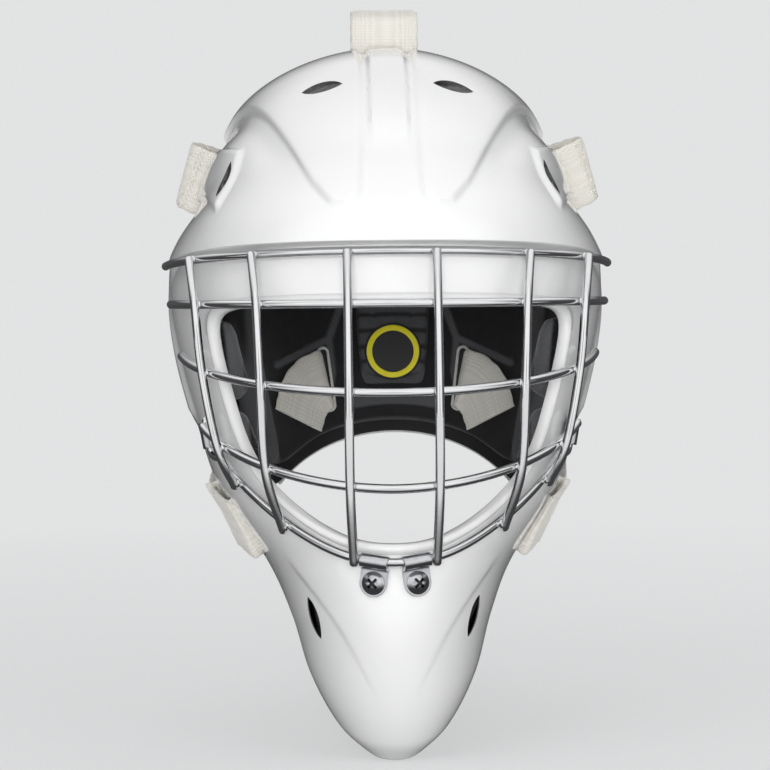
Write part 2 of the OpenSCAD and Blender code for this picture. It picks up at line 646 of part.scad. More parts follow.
// Each strap is riveted to its socket and runs down under the cup
module chin_straps() {
    x = socket_x - 0.12 - sling_thickness / 2;
    under = [0, 0, -sling_thickness / 2 - 0.5];
    round_edge = [1.2 + sling_thickness, 0, 1];
    low = stud_foot.z - snap_socket_d / 2;
    path = [[x, cup_y, stud_foot.z + snap_socket_d / 2 + 1], [x, cup_y, low - 0.5], [x - 0.6, cup_y, low - 3],
            cup_low(1, 0) + round_edge, cup_low(0.8, 0) + under, cup_low(0.55, 0) + under];
    color("dimgray") both_sides() difference() {
        ribbon([for (p = curve(path, 4)) [p, [0, 1, 0]]], sling_width, sling_thickness);
        translate([x, cup_y, stud_foot.z]) rotate([0, 90, 0])
            cylinder(4 * sling_thickness, r = snap_post_d / 2 + 1.8, center = true);
    }
}

// A flat band along [point, width direction] pairs
module ribbon(path, width, thickness) {
    n = len(path);
    line = [for (p = path) p[0]];
    points = [for (i = [0:n - 1])
        let (t = tangent(line, i), w = unit(path[i][1] - (path[i][1] * t) * t), f = cross(w, t))
        each [line[i] + w * width / 2 + f * thickness / 2, line[i] - w * width / 2 + f * thickness / 2,
              line[i] - w * width / 2 - f * thickness / 2, line[i] + w * width / 2 - f * thickness / 2]];
    walls = [for (i = [0:n - 2], k = [0:3])
        let (m = (k + 1) % 4)
        each [[i * 4 + k, i * 4 + m, i * 4 + 4 + k], [i * 4 + m, i * 4 + 4 + m, i * 4 + 4 + k]]];
    last = 4 * (n - 1);
    caps = [[0, 3, 1], [1, 3, 2], [last, last + 1, last + 3], [last + 1, last + 2, last + 3]];
    polyhedron(points, concat(walls, caps), 10);
}

// Back plate stations from its top edge to its lower edge, as the shell's are given
PLATE = [
    [0.00, 54, 161, 42, 150, 40, 2.0, 78],
    [0.15, 84, 147, 40, 128, 73, 2.0, 80],
    [0.30, 107, 121, 42, 102, 91, 2.1, 82],
    [0.45, 119, 90, 45, 70, 98, 2.2, 82],
    [0.60, 123, 55, 48, 36, 98, 2.2, 82],
    [0.75, 121, 20, 53, -4, 92, 2.2, 80],
    [0.88, 116, -8, 60, -42, 84, 2.1, 78],
    [1.00, 112, -27, 68, -70, 74, 2.0, 76]
];
function plate_out(a, s) = outward(PLATE, a, s);
function plate_point(a, s, off) = arch_point(PLATE, a, s) + plate_out(a, s) * off + [plate_shift, 0, 0];
liner_reach = 0.96;
plate_nu = 16;
plate_nv = 12;
// rim is 1 for the plate, which runs on past the liner's grid to its own edge
module plate_slab(off_top, off_bottom, rim) {
    as = [for (i = [-rim:plate_nu + rim]) min(max(liner_reach * (2 * i / plate_nu - 1), -1), 1)];
    ss = [for (j = [-rim:plate_nv + rim])
        min(max(1 - liner_reach + (2 * liner_reach - 1) * j / plate_nv, 0), 1)];
    slab([for (a = as, s = ss) plate_point(a, s, off_top)],
         [for (a = as, s = ss) plate_point(a, s, off_bottom)], len(as) - 1, len(ss) - 1);
}
upper_plate_slot = [0.30, 0.46];
lower_plate_slot = [0.355, 0.82];
crown_plate_slot = [0, 0.10];
module plate_cuts() {
    for (side = [-1, 1], at = [upper_plate_slot, lower_plate_slot])
        placed(plate_point(side * at.x, at.y, 0), plate_out(side * at.x, at.y),
               along_s(PLATE, side * at.x, at.y)) strap_cut(2 * cut_depth);
    placed(plate_point(0, crown_plate_slot.y, 0), plate_out(0, crown_plate_slot.y), [1, 0, 0])
        strap_cut(2 * cut_depth);
}
module backplate() {
    color("black") difference() {
        plate_slab(0, -plate_wall, 1);
        plate_cuts();
    }
}
liner_in = plate_wall + pad_gap;
module backplate_liner() {
    color("dimgray") difference() {
        plate_slab(-liner_in, -liner_in - liner_thickness, 0);
        plate_cuts();
    }
}
// The centre panel has a flat face that carries ribs and the badge
panel_low = 0.60;
panel_high = 0.85;
panel_half = 0.127;
panel_y = plate_point(0, 0.70, -liner_in - liner_thickness).y - 5;
badge_z = 19.5 * fit.z;
module backplate_centre_pad() {
    nu = 4;
    nv = 4 * rib_count;
    back = liner_in + liner_thickness + pad_gap + facet_sag;
    grid = [for (i = [0:nu], j = [0:nv])
        [panel_half * (2 * i / nu - 1), panel_low + (panel_high - panel_low) * j / nv, j]];
    rear = [for (g = grid) plate_point(g[0], g[1], -back)];
    face = [for (k = [0:len(grid) - 1]) let (p = rear[k])
        [p.x, panel_y - (grid[k][2] % 4 == 2 ? 0 : rib_height * 0.5), p.z]];
    color("dimgray") slab(rear, face, nu, nv);
}
badge_gap = 0.1;
badge_t = 1.2;
badge_front = panel_y - rib_height * 0.5 - badge_gap;
module badge_disc() {
    color("black") translate([plate_shift, badge_front, badge_z]) rotate([90, 0, 0])
        cylinder(badge_t, d = badge_d);
}
module badge_ring() {
    ring_out = badge_d - 2.6;
    color("gold") translate([plate_shift, badge_front - badge_t - 0.02, badge_z]) rotate([90, 0, 0]) difference() {
        cylinder(0.8, d = ring_out);
        cylinder(3, d = ring_out - 2 * badge_ring_width, center = true);
    }
}

// A strap's line: sewn behind the shell's edge, folded over it, in through its slot,
// back to the plate, in through the plate's slot and flat on the liner.
// Each point is [position, width direction]. At the shell t runs rearwards from the slot
// and n outwards; lean tips the strap's width outwards
function near_slot(at, dir, t, n, lean = 0) =
    let (out = outward(SHELL, at.x, at.y), w = unit(dir - (dir * out) * out))
    [base(at.x, at.y) + cross(w, out) * t + out * n, w + out * lean];
function near_plate(a, s, off, side) =
    let (p = plate_point(side * a, s, off), w = -along_s(PLATE, a, s)) [[side * p.x, p.y, p.z], w];
lift = half_strap + 0.9;
sunk = shell_wall + half_strap + 0.9;
end_gap = 0.6;
liner_face = -liner_in - liner_thickness;
// How far a wide strap's edges dip towards the curved plate and the crown
plate_sag = 2;
crown_sag = 2;
// The fold round the shell's edge: its height, its lean and how far the slot is from the edge
function fold(at, dir, height, lean, edge, sag = 1) = [
    near_slot(at, dir, edge + 13, half_strap + end_gap), near_slot(at, dir, edge + 8, height * 0.42, lean),
    near_slot(at, dir, edge + 1, height * 0.88, lean), near_slot(at, dir, edge * 0.42, height, lean),
    near_slot(at, dir, 0.5, height * 0.8, lean), near_slot(at, dir, -0.3, height * 0.45),
    near_slot(at, dir, 0, 0), near_slot(at, dir, 0, -shell_wall), near_slot(at, dir, 3.5, -sunk - sag - 0.5),
    near_slot(at, dir, edge + 1, -sunk - sag), near_slot(at, dir, edge + 8, -shell_wall / 2 - 0.5),
    near_slot(at, dir, edge + 14, -half_strap)];
// Through the plate's slot from a run of places outside to a run inside, as [a, s] from the slot
// and, outside, the height over the plate
function through_plate(slot, outer, inner, side) = concat(
    [for (k = outer) near_plate(slot.x + k.x, slot.y + k.y, lift + k.z, side)],
    [near_plate(slot.x + 0.016, slot.y, lift, side), near_plate(slot.x, slot.y, 0.2, side),
     near_plate(slot.x, slot.y, -plate_wall, side), near_plate(slot.x, slot.y, liner_face, side)],
    [for (k = inner) near_plate(slot.x + k.x, slot.y + k.y, liner_face - lift - plate_sag, side)]);
// Straight from the end of one run to the start of the next
function span(from, to, parts) = [for (k = [1:parts - 1]) from * (1 - k / parts) + to * k / parts];
function joined(fold_run, plate_run, parts) =
    concat(fold_run, span(fold_run[len(fold_run) - 1], plate_run[0], parts), plate_run);
function smooth_path(path, steps) =
    let (p = curve([for (q = path) q[0]], steps), w = curve([for (q = path) q[1]], steps))
    [for (i = [0:len(p) - 1]) [p[i], unit(w[i])]];
module strap(path) {
    ribbon(smooth_path(path, 2), strap_width, strap_thickness);
}
// side is 1 for the wearer's left strap and -1 for the right one, which is then mirrored
// Where the plate hangs away from its side, the strap needn't rise over the plate's edge
module upper_strap(side) {
    height = strap_fold + plate_shift * (side + 1) / 3;
    over_edge = plate_shift * side < -3 ? [] : [[0.72, -0.215, 4.4 - 0.17 * plate_shift * side]];
    outer = concat(over_edge, [[0.60, -0.18, 2.2 - 0.1 * plate_shift * side], [0.46, -0.13, 0],
                               [0.30, -0.07, 0], [0.15, -0.03, 0]]);
    inner = [[0.03, 0], [0.12, 0.01], [0.22, 0.02], [0.32, 0.03]];
    strap(joined(fold(upper_slot_at, upper_slot_dir, height, 0.13, 11),
        through_plate(upper_plate_slot, outer, inner, side), 2));
}
module lower_strap(side) {
    outer = [[0.66, 0.04, 2], [0.54, 0.05, 0.6], [0.40, 0.05, 0], [0.27, 0.042, 0], [0.13, 0.02, 0]];
    inner = [[0.03, 0], [0.10, 0.004], [0.19, 0.022], [0.28, 0.06]];
    strap(joined(fold(lower_slot_at, lower_slot_dir, strap_fold * 0.25, -0.13, 26, 2.4),
        through_plate(lower_plate_slot, outer, inner, side), 4));
}
// The crown strap stands up in a fold over the shell's rear edge
module top_strap() {
    plate_run = concat(
        [for (s = [0.01, 0.05, 0.088]) [plate_point(0, s, lift), crown_slot_dir]],
        [for (off = [0.2, -plate_wall, liner_face]) [plate_point(0, crown_plate_slot.y, off), crown_slot_dir]],
        [for (s = [0.112, 0.16, 0.22, 0.28])
            [plate_point(0, s, liner_face - lift - plate_sag), crown_slot_dir]]);
    color("ivory") strap(joined(fold(crown_slot_at, crown_slot_dir, crown_fold, 0, 29, crown_sag), plate_run, 2));
}
module upper_strap_left() { color("ivory") upper_strap(1); }
module upper_strap_right() { color("ivory") mirror([1, 0, 0]) upper_strap(-1); }
module lower_strap_left() { color("ivory") lower_strap(1); }
module lower_strap_right() { color("ivory") mirror([1, 0, 0]) lower_strap(-1); }

shell();
cage_top_wire();
cage_brow_wire();
cage_eye_wire();
cage_mouth_wire();
cage_frame_wire();
cage_uprights();
chin_clips();
chin_clip_screws();
chin_clip_nuts();
side_clips();
side_clip_screws();
side_clip_nuts();
forehead_pad();
sweatband();
crown_pad();
temple_pad_left();
temple_pad_right();
cheek_pad_left();
cheek_pad_right();
jaw_pad_left();
jaw_pad_right();
chin_studs();
chin_sockets();
chin_straps();
chin_cup();
backplate();
backplate_liner();
backplate_centre_pad();
badge_disc();
badge_ring();
top_strap();
upper_strap_left();
upper_strap_right();
lower_strap_left();
lower_strap_right();
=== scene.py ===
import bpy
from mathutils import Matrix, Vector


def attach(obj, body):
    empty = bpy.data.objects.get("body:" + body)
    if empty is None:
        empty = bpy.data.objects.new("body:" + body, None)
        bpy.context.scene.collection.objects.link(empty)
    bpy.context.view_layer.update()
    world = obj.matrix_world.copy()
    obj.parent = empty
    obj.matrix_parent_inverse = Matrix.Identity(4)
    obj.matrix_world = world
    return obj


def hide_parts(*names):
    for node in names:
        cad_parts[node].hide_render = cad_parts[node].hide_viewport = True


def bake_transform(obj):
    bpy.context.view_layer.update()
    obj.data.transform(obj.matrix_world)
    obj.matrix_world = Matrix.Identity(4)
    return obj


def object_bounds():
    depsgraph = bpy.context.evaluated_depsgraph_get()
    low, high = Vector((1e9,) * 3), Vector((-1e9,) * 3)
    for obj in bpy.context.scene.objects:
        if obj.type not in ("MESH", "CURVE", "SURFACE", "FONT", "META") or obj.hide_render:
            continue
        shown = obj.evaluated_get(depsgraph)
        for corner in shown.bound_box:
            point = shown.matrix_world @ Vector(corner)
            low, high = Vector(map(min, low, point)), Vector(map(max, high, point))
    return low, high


bl_info = {
    "name": "Goalie mask",
    "version": (1, 0, 0),
    "blender": (4, 5, 0),
    "location": "View3D > Sidebar > Goalie mask",
    "description": "Dresses a packed goalie mask: shell, cage, padding, back plate and straps",
    "category": "Object",
}

import math
from contextlib import contextmanager

import bmesh
import bpy
import numpy as np
from mathutils import Matrix, Vector

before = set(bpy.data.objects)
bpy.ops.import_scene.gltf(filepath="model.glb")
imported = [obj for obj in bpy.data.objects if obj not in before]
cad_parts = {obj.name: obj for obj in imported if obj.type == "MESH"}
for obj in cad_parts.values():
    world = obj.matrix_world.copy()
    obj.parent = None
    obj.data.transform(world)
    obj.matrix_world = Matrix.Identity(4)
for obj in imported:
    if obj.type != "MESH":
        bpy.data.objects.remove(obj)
CAD_BOX = [list(corner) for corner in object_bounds()]
MM = 0.001

# The shell's stations from the chin point to the crown, in millimetres and degrees:
# place, front y, front z, edge y, edge z, half width, squareness, sweep
SHELL = np.array([
    [0.00, -94, -175, -84, -173, 12, 2.0, 80],
    [0.05, -108, -164, -76, -160, 27, 2.0, 76],
    [0.12, -120, -143, -66, -138, 40, 2.0, 74],
    [0.20, -126, -112, -50, -112, 49, 2.05, 74],
    [0.28, -126, -84, -23, -88, 62, 2.1, 76],
    [0.36, -122, -50, -21, -52, 85.5, 2.2, 78],
    [0.44, -119, -15, 6, -20, 99, 2.3, 80],
    [0.52, -117, 20, 20, 15, 109.5, 2.35, 82],
    [0.60, -117, 52, 26, 50, 114.5, 2.3, 84],
    [0.66, -117, 78, 28, 68, 108.5, 2.3, 84],
    [0.73, -112, 105, 28, 82, 101, 2.2, 85],
    [0.81, -94, 133, 26, 97, 96, 2.1, 86],
    [0.89, -62, 156, 22, 111, 89, 1.95, 87],
    [0.95, -26, 168, 18, 119, 86, 1.88, 88],
    [1.00, 12, 172.5, 14, 124, 84, 1.85, 88]])
PLATE = np.array([
    [0.00, 54, 161, 42, 150, 40, 2.0, 78],
    [0.15, 84, 147, 40, 128, 73, 2.0, 80],
    [0.30, 107, 121, 42, 102, 91, 2.1, 82],
    [0.45, 119, 90, 45, 70, 98, 2.2, 82],
    [0.60, 123, 55, 48, 36, 98, 2.2, 82],
    [0.75, 121, 20, 53, -4, 92, 2.2, 80],
    [0.88, 116, -8, 60, -42, 84, 2.1, 78],
    [1.00, 112, -27, 68, -70, 74, 2.0, 76]])
# Places up the shell: its brow shelf and the middle of the face opening
SHELF_S, FACE_S = 0.628, 0.45
WALL = 4.0
# Millimetres of shell for a whole unit of place, near the shelf
SHELF_PACE = 433
INNER_SHELF_S = SHELF_S + WALL / SHELF_PACE
# How far the back plate hangs to the wearer's left
PLATE_SHIFT = 6.0
PLATE_WALL, LINER_GAP = 2.5, 0.3
LINER_SEAT = PLATE_WALL + LINER_GAP


# The surfaces, as the solids have them
def ease(t):
    c = np.clip(t, 0.0, 1.0)
    return c * c * (3 - 2 * c)


def unit(v):
    v = np.asarray(v, float)
    return v / np.linalg.norm(v, axis=-1, keepdims=True)


def station(rows, s):
    s = np.clip(np.asarray(s, float), 0, 1)
    n = len(rows)
    lo, hi = np.maximum(np.arange(n) - 1, 0), np.minimum(np.arange(n) + 1, n - 1)
    slope = (rows[hi] - rows[lo]) / (rows[hi, 0] - rows[lo, 0])[:, None]
    i = np.clip(np.searchsorted(rows[:, 0], s, side="right") - 1, 0, n - 2)
    h = rows[i + 1, 0] - rows[i, 0]
    t = ((s - rows[i, 0]) / h)[..., None]
    h = h[..., None]
    return ((2 * t**3 - 3 * t**2 + 1) * rows[i] + (t**3 - 2 * t**2 + t) * h * slope[i]
            + (3 * t**2 - 2 * t**3) * rows[i + 1] + (t**3 - t**2) * h * slope[i + 1])


def arch_point(rows, a, s):
    a, s = np.broadcast_arrays(np.asarray(a, float), np.asarray(s, float))
    k = station(rows, s)
    angle, sweep, e = np.radians(a * k[..., 7]), np.radians(k[..., 7]), 2 / k[..., 6]
    ratio = np.sin(angle) / np.sin(sweep)
    x = k[..., 5] * np.sign(ratio) * np.abs(ratio) ** e
    q = (1 - np.abs(np.cos(angle)) ** e) / (1 - np.abs(np.cos(sweep)) ** e)
    return np.stack([x, k[..., 1] + (k[..., 3] - k[..., 1]) * q,
                     k[..., 2] + (k[..., 4] - k[..., 2]) * q], -1)


def outward(rows, a, s):
    e = 0.002
    return unit(np.cross(arch_point(rows, a + e, s) - arch_point(rows, a - e, s),
                         arch_point(rows, a, np.minimum(s + e, 1)) - arch_point(rows, a, np.maximum(s - e, 0))))


def along_s(rows, a, s):
    return unit(arch_point(rows, a, s + 0.01) - arch_point(rows, a, s - 0.01))


def along_a(rows, a, s):
    return unit(arch_point(rows, a + 0.01, s) - arch_point(rows, a - 0.01, s))


def overhang(a, s, step):
    look = bpy.context.scene.mask_shell
    soft = 0.06 * ease((np.abs(a) - 0.80) / 0.09)
    brow, temple = look.brow_overhang / MM, look.temple_overhang / MM
    reach = brow + (temple - brow) * np.sin(np.radians(a * 90)) ** 2
    return reach * ease((s - step + 0.001 + soft / 2) / (0.003 + soft)) * (1 - ease((s - step - 0.01) / 0.12))


def relief(a, s):
    look = bpy.context.scene.mask_shell
    x = np.abs(arch_point(SHELL, a, s)[..., 0])
    rise = np.clip((s - 0.675) / 0.188, 0, 2)
    outer = 27 + 38 * rise ** 0.8
    lobe = np.minimum(0.0002 * (x - 20.7) ** 2, 0.021)
    panel = (ease((outer - x) / 2.8 + 0.5) * ease((x - 13) / 3.4 + 0.5) * ease((s - 0.662 - lobe) / 0.009))
    ridge = ease((9 - x) / 3 + 0.5) * ease((s - 0.73) / 0.05)
    channel = np.exp(-((x - outer - 9) / 9) ** 2) * ease((s - 0.68) / 0.08)
    chin = (ease((0.30 + (s - 0.174) * 2.8 - np.abs(a)) / 0.06 + 0.5) * ease((s - 0.10) / 0.10)
            * (1 - ease((s - 0.27) / 0.03)))
    flange = ease((np.abs(a) - 0.885) / 0.05) * ease((s - 0.44) / 0.02) * (1 - ease((s - 0.52) / 0.12))
    slant = s - 0.262 * (np.abs(a) - 0.51)
    boss = (ease((slant - 0.674) / 0.010) * ease((0.783 - slant) / 0.010) * ease((np.abs(a) - 0.508) / 0.022)
            * (1 - ease((np.abs(a) - 0.965) / 0.02)))
    return (look.panel_height / MM * np.maximum(panel, ridge) - look.channel_depth / MM * channel
            + 1.2 * chin + 2.0 * flange + look.boss_height / MM * boss)


def outside(a, s, off=0.0):
    lift = overhang(a, s, SHELF_S) + relief(a, s) + off
    return arch_point(SHELL, a, s) + outward(SHELL, a, s) * np.asarray(lift)[..., None]


def inside(a, s, depth):
    drop = overhang(a, s, INNER_SHELF_S) - depth
    return arch_point(SHELL, a, s) + outward(SHELL, a, s) * np.asarray(drop)[..., None]


def plate_point(a, s, off):
    p = arch_point(PLATE, a, s) + outward(PLATE, a, s) * np.asarray(off)[..., None]
    return p + np.array([PLATE_SHIFT, 0, 0])


# The shell's contours round the face opening: half width, reach up, reach down, squareness
CONTOURS = [(0.56, 0.113, 0.138, 9, 2.2), (0.59, 0.125, 0.151, 9, 2.2),
            (0.93, 0.195, 0.30, 14, 2.5), (1.00, 1 - FACE_S, FACE_S, 12, 6)]


def on_contour(i, x, y):
    half, up, down, m_up, m_down = CONTOURS[i]
    m = np.where(y >= 0, m_up, m_down)
    k = (np.abs(x) ** m + np.abs(y) ** m) ** (-1 / m)
    s = FACE_S + np.where(y >= 0, up, down) * y * k
    return half * x * k, np.minimum(s, SHELF_S if i < 3 else 1.0)


def between(c, x, y):
    i = min(int(c), 2)
    t = c - i
    (a0, s0), (a1, s1) = on_contour(i, x, y), on_contour(i + 1, x, y)
    return a0 * (1 - t) + a1 * t, s0 * (1 - t) + s1 * t


# Mesh tools: each starts from a bmesh operator, and the vertices are then moved
def piece_from(name, bm):
    mesh = bpy.data.meshes.new(name)
    bm.to_mesh(mesh)
    bm.free()
    piece = bpy.data.objects.new(name, mesh)
    bpy.context.scene.collection.objects.link(piece)
    return piece


def shaped_grid(nx, ny, place, size=(1.0, 1.0)):
    """A grid of nx by ny faces whose vertices go where place(u, v) puts them, in millimetres."""
    bm = bmesh.new()
    lie = bm.loops.layers.uv.new("lie")
    bmesh.ops.create_grid(bm, x_segments=nx, y_segments=ny, size=0.5, calc_uvs=True)
    if size != (1.0, 1.0):
        for face in bm.faces:
            for loop in face.loops:
                loop[lie].uv = ((loop.vert.co.x + 0.5) * size[0], (loop.vert.co.y + 0.5) * size[1])
    flat = np.array([v.co[:2] for v in bm.verts]) + 0.5
    for v, p in zip(bm.verts, place(flat[:, 0], flat[:, 1]) * MM):
        v.co = p
    return bm


def close_up(bm, fill=False):
    bmesh.ops.remove_doubles(bm, verts=bm.verts, dist=2e-6)
    if fill:
        bmesh.ops.holes_fill(bm, edges=[e for e in bm.edges if e.is_boundary], sides=0)
    bmesh.ops.recalc_face_normals(bm, faces=bm.faces)
    return bm


def slab_grid(nx, ny, top, bottom, size=(1.0, 1.0)):
    """A closed slab: a sheet in the middle of its thickness, then its two faces pushed apart."""
    bm = shaped_grid(nx, ny, lambda u, v: (top(u, v) + bottom(u, v)) / 2, size)
    us = np.repeat([np.arange(nx + 1) / nx], ny + 1, 0).ravel()
    vs = np.repeat(np.arange(ny + 1) / ny, nx + 1)
    bm.verts.ensure_lookup_table()
    first = list(bm.verts)
    made = bmesh.ops.duplicate(bm, geom=list(bm.faces))
    pair = made["vert_map"]
    for v, p, q in zip(first, top(us, vs) * MM, bottom(us, vs) * MM):
        v.co = p
        pair[v].co = q
    twins = [f for f in made["geom"] if isinstance(f, bmesh.types.BMFace)]
    bmesh.ops.reverse_faces(bm, faces=twins)
    bmesh.ops.bridge_loops(bm, edges=[e for e in bm.edges if e.is_boundary])
    bmesh.ops.recalc_face_normals(bm, faces=bm.faces)
    return bm


def spun(profile, steps=48):
    """A turned piece along +Z from its profile of radii and heights, in millimetres."""
    bm = bmesh.new()
    closed = profile[0] == profile[-1]
    verts = [bm.verts.new((r * MM, 0, z * MM)) for r, z in profile[:len(profile) - closed]]
    pairs = list(zip(verts, verts[1:])) + ([(verts[-1], verts[0])] if closed else [])
    edges = [bm.edges.new(pair) for pair in pairs]
    bmesh.ops.spin(bm, geom=verts + edges, cent=(0, 0, 0), axis=(0, 0, 1), angle=math.tau, steps=steps,
                   use_merge=True)
    return close_up(bm)


def smooth_through(points, steps):
    """A smooth line through points."""
    p = np.asarray(points, float)
    n = len(p)
    at = lambda i: p[np.clip(i, 0, n - 1)]
    i = np.repeat(np.arange(n - 1), steps)
    t = np.tile(np.arange(steps) / steps, n - 1)[:, None]
    line = 0.5 * (2 * at(i) + (at(i + 1) - at(i - 1)) * t
                  + (2 * at(i - 1) - 5 * at(i) + 4 * at(i + 1) - at(i + 2)) * t**2
                  + (3 * at(i) - at(i - 1) - 3 * at(i + 1) + at(i + 2)) * t**3)
    return np.vstack([line, p[-1:]])


def rods(name, lines, radius, round_ends=True, sides=5):
    """Round rods along lines, as one mesh. Their ends are domed."""
    line = bpy.data.curves.new(name, "CURVE")
    line.dimensions = "3D"
    line.bevel_depth = radius * MM
    line.bevel_resolution = sides
    line.use_fill_caps = True
    for points in lines:
        points = np.asarray(points, float)
        radii = np.ones(len(points))
        if round_ends:
            turn = np.radians([8, 25, 42, 58, 72, 90])
            d0, d1 = unit(points[1] - points[0]), unit(points[-2] - points[-1])
            far = lambda p, q: np.linalg.norm(p - q, axis=1) > radius * 1.05
            keep = far(points, points[0]) & far(points, points[-1])
            head = points[0] + d0 * (radius * (1 - np.cos(turn)))[:, None]
            tail = (points[-1] + d1 * (radius * (1 - np.cos(turn)))[:, None])[::-1]
            points = np.vstack([head, points[keep], tail])
            radii = np.concatenate([np.sin(turn), np.ones(keep.sum()), np.sin(turn)[::-1]])
        spline = line.splines.new("POLY")
        spline.points.add(len(points) - 1)
        for k, p in enumerate(points):
            spline.points[k].co = (*(p * MM), 1)
            spline.points[k].radius = radii[k]
    bent = bpy.data.objects.new(name + "_line", line)
    bpy.context.scene.collection.objects.link(bent)
    bpy.context.view_layer.update()
    mesh = bpy.data.meshes.new_from_object(bent.evaluated_get(bpy.context.evaluated_depsgraph_get()))
    bpy.data.objects.remove(bent)
    bpy.data.curves.remove(line)
    bm = bmesh.new()
    bm.from_mesh(mesh)
    bpy.data.meshes.remove(mesh)
    return piece_from(name, close_up(bm))


def stand(origin, z, x):
    """A matrix that puts z along the first direction and x near the second."""
    w = unit(z)
    v = unit(np.cross(w, x))
    u = np.cross(v, w)
    return Matrix([(*row, at * MM) for row, at in zip(np.stack([u, v, w], 1), origin)] + [(0, 0, 0, 1)])


def mirrored_pair(bm):
    """Adds the same shape on the other side of the mask."""
    bmesh.ops.mirror(bm, geom=list(bm.verts) + list(bm.edges) + list(bm.faces), matrix=Matrix.Identity(4),
                     merge_dist=-1, axis="X")
    bmesh.ops.recalc_face_normals(bm, faces=bm.faces)
    return bm


def settle(piece):
    """Bakes a piece's modifiers into its mesh."""
    bpy.context.view_layer.update()
    made = bpy.data.meshes.new_from_object(piece.evaluated_get(bpy.context.evaluated_depsgraph_get()))
    piece.modifiers.clear()
    piece.data = made
    return piece


def cut_away(piece, cutters, overlapping=False):
    """Cuts the cutters' joined shape out of a piece."""
    bmesh.ops.recalc_face_normals(cutters, faces=cutters.faces)
    tool = piece_from("cutter", cutters)
    cut = piece.modifiers.new("cut", "BOOLEAN")
    cut.object, cut.solver, cut.use_self = tool, "EXACT", overlapping
    settle(piece)
    bpy.data.objects.remove(tool)
    return piece


@contextmanager
def reshaped(piece):
    """A piece's mesh, to be changed in place."""
    bm = bmesh.new()
    bm.from_mesh(piece.data)
    yield bm
    bm.to_mesh(piece.data)
    bm.free()


def add_bevel(piece, width, segments, angle):
    """Rounds the edges that are sharper than an angle."""
    bevel = piece.modifiers.new("edge", "BEVEL")
    bevel.width = width * MM
    bevel.segments = segments
    bevel.limit_method = "ANGLE"
    bevel.angle_limit = math.radians(angle)
    bevel.harden_normals = False
    return settle(piece)


def dress(piece, body, nodes, finish, crease=35):
    """Shades a piece, gives it its material and body, and hides the solids it stands for."""
    mesh = piece.data
    mesh.shade_smooth()
    if crease:
        with reshaped(piece) as bm:
            for e in bm.edges:
                e.smooth = not (len(e.link_faces) == 2 and e.calc_face_angle(0) > math.radians(crease))
    if not mesh.materials:
        mesh.materials.append(finish)
    if body:
        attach(piece, body)
    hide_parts(*nodes)
    return piece


# Finishes
class Nodes:
    """Short ways to add nodes to a shader's tree."""

    def __init__(self, tree):
        self.tree = tree

    def node(self, kind, **values):
        node = self.tree.nodes.new(kind)
        for key, value in values.items():
            if hasattr(node, key):
                setattr(node, key, value)
            else:
                node.inputs[key.replace("_", " ")].default_value = value
        return node

    def link(self, source, target):
        self.tree.links.new(source, target)

    def ranged(self, source, low, high, start=0.0, end=1.0):
        spread = self.node("ShaderNodeMapRange", From_Min=start, From_Max=end, To_Min=low, To_Max=high)
        self.link(source, spread.inputs["Value"])
        return spread.outputs["Result"]

    def maths(self, operation, *sources):
        node = self.node("ShaderNodeMath", operation=operation)
        for k, source in enumerate(sources):
            self.link(source, node.inputs[k])
        return node.outputs["Value"]

    def mixed(self, *sources):
        """From a factor and two shaders, the first where the factor is 0 and the second where it is 1."""
        node = self.node("ShaderNodeMixShader")
        for k, source in enumerate(sources):
            self.link(source, node.inputs[k])
        return node.outputs[0]


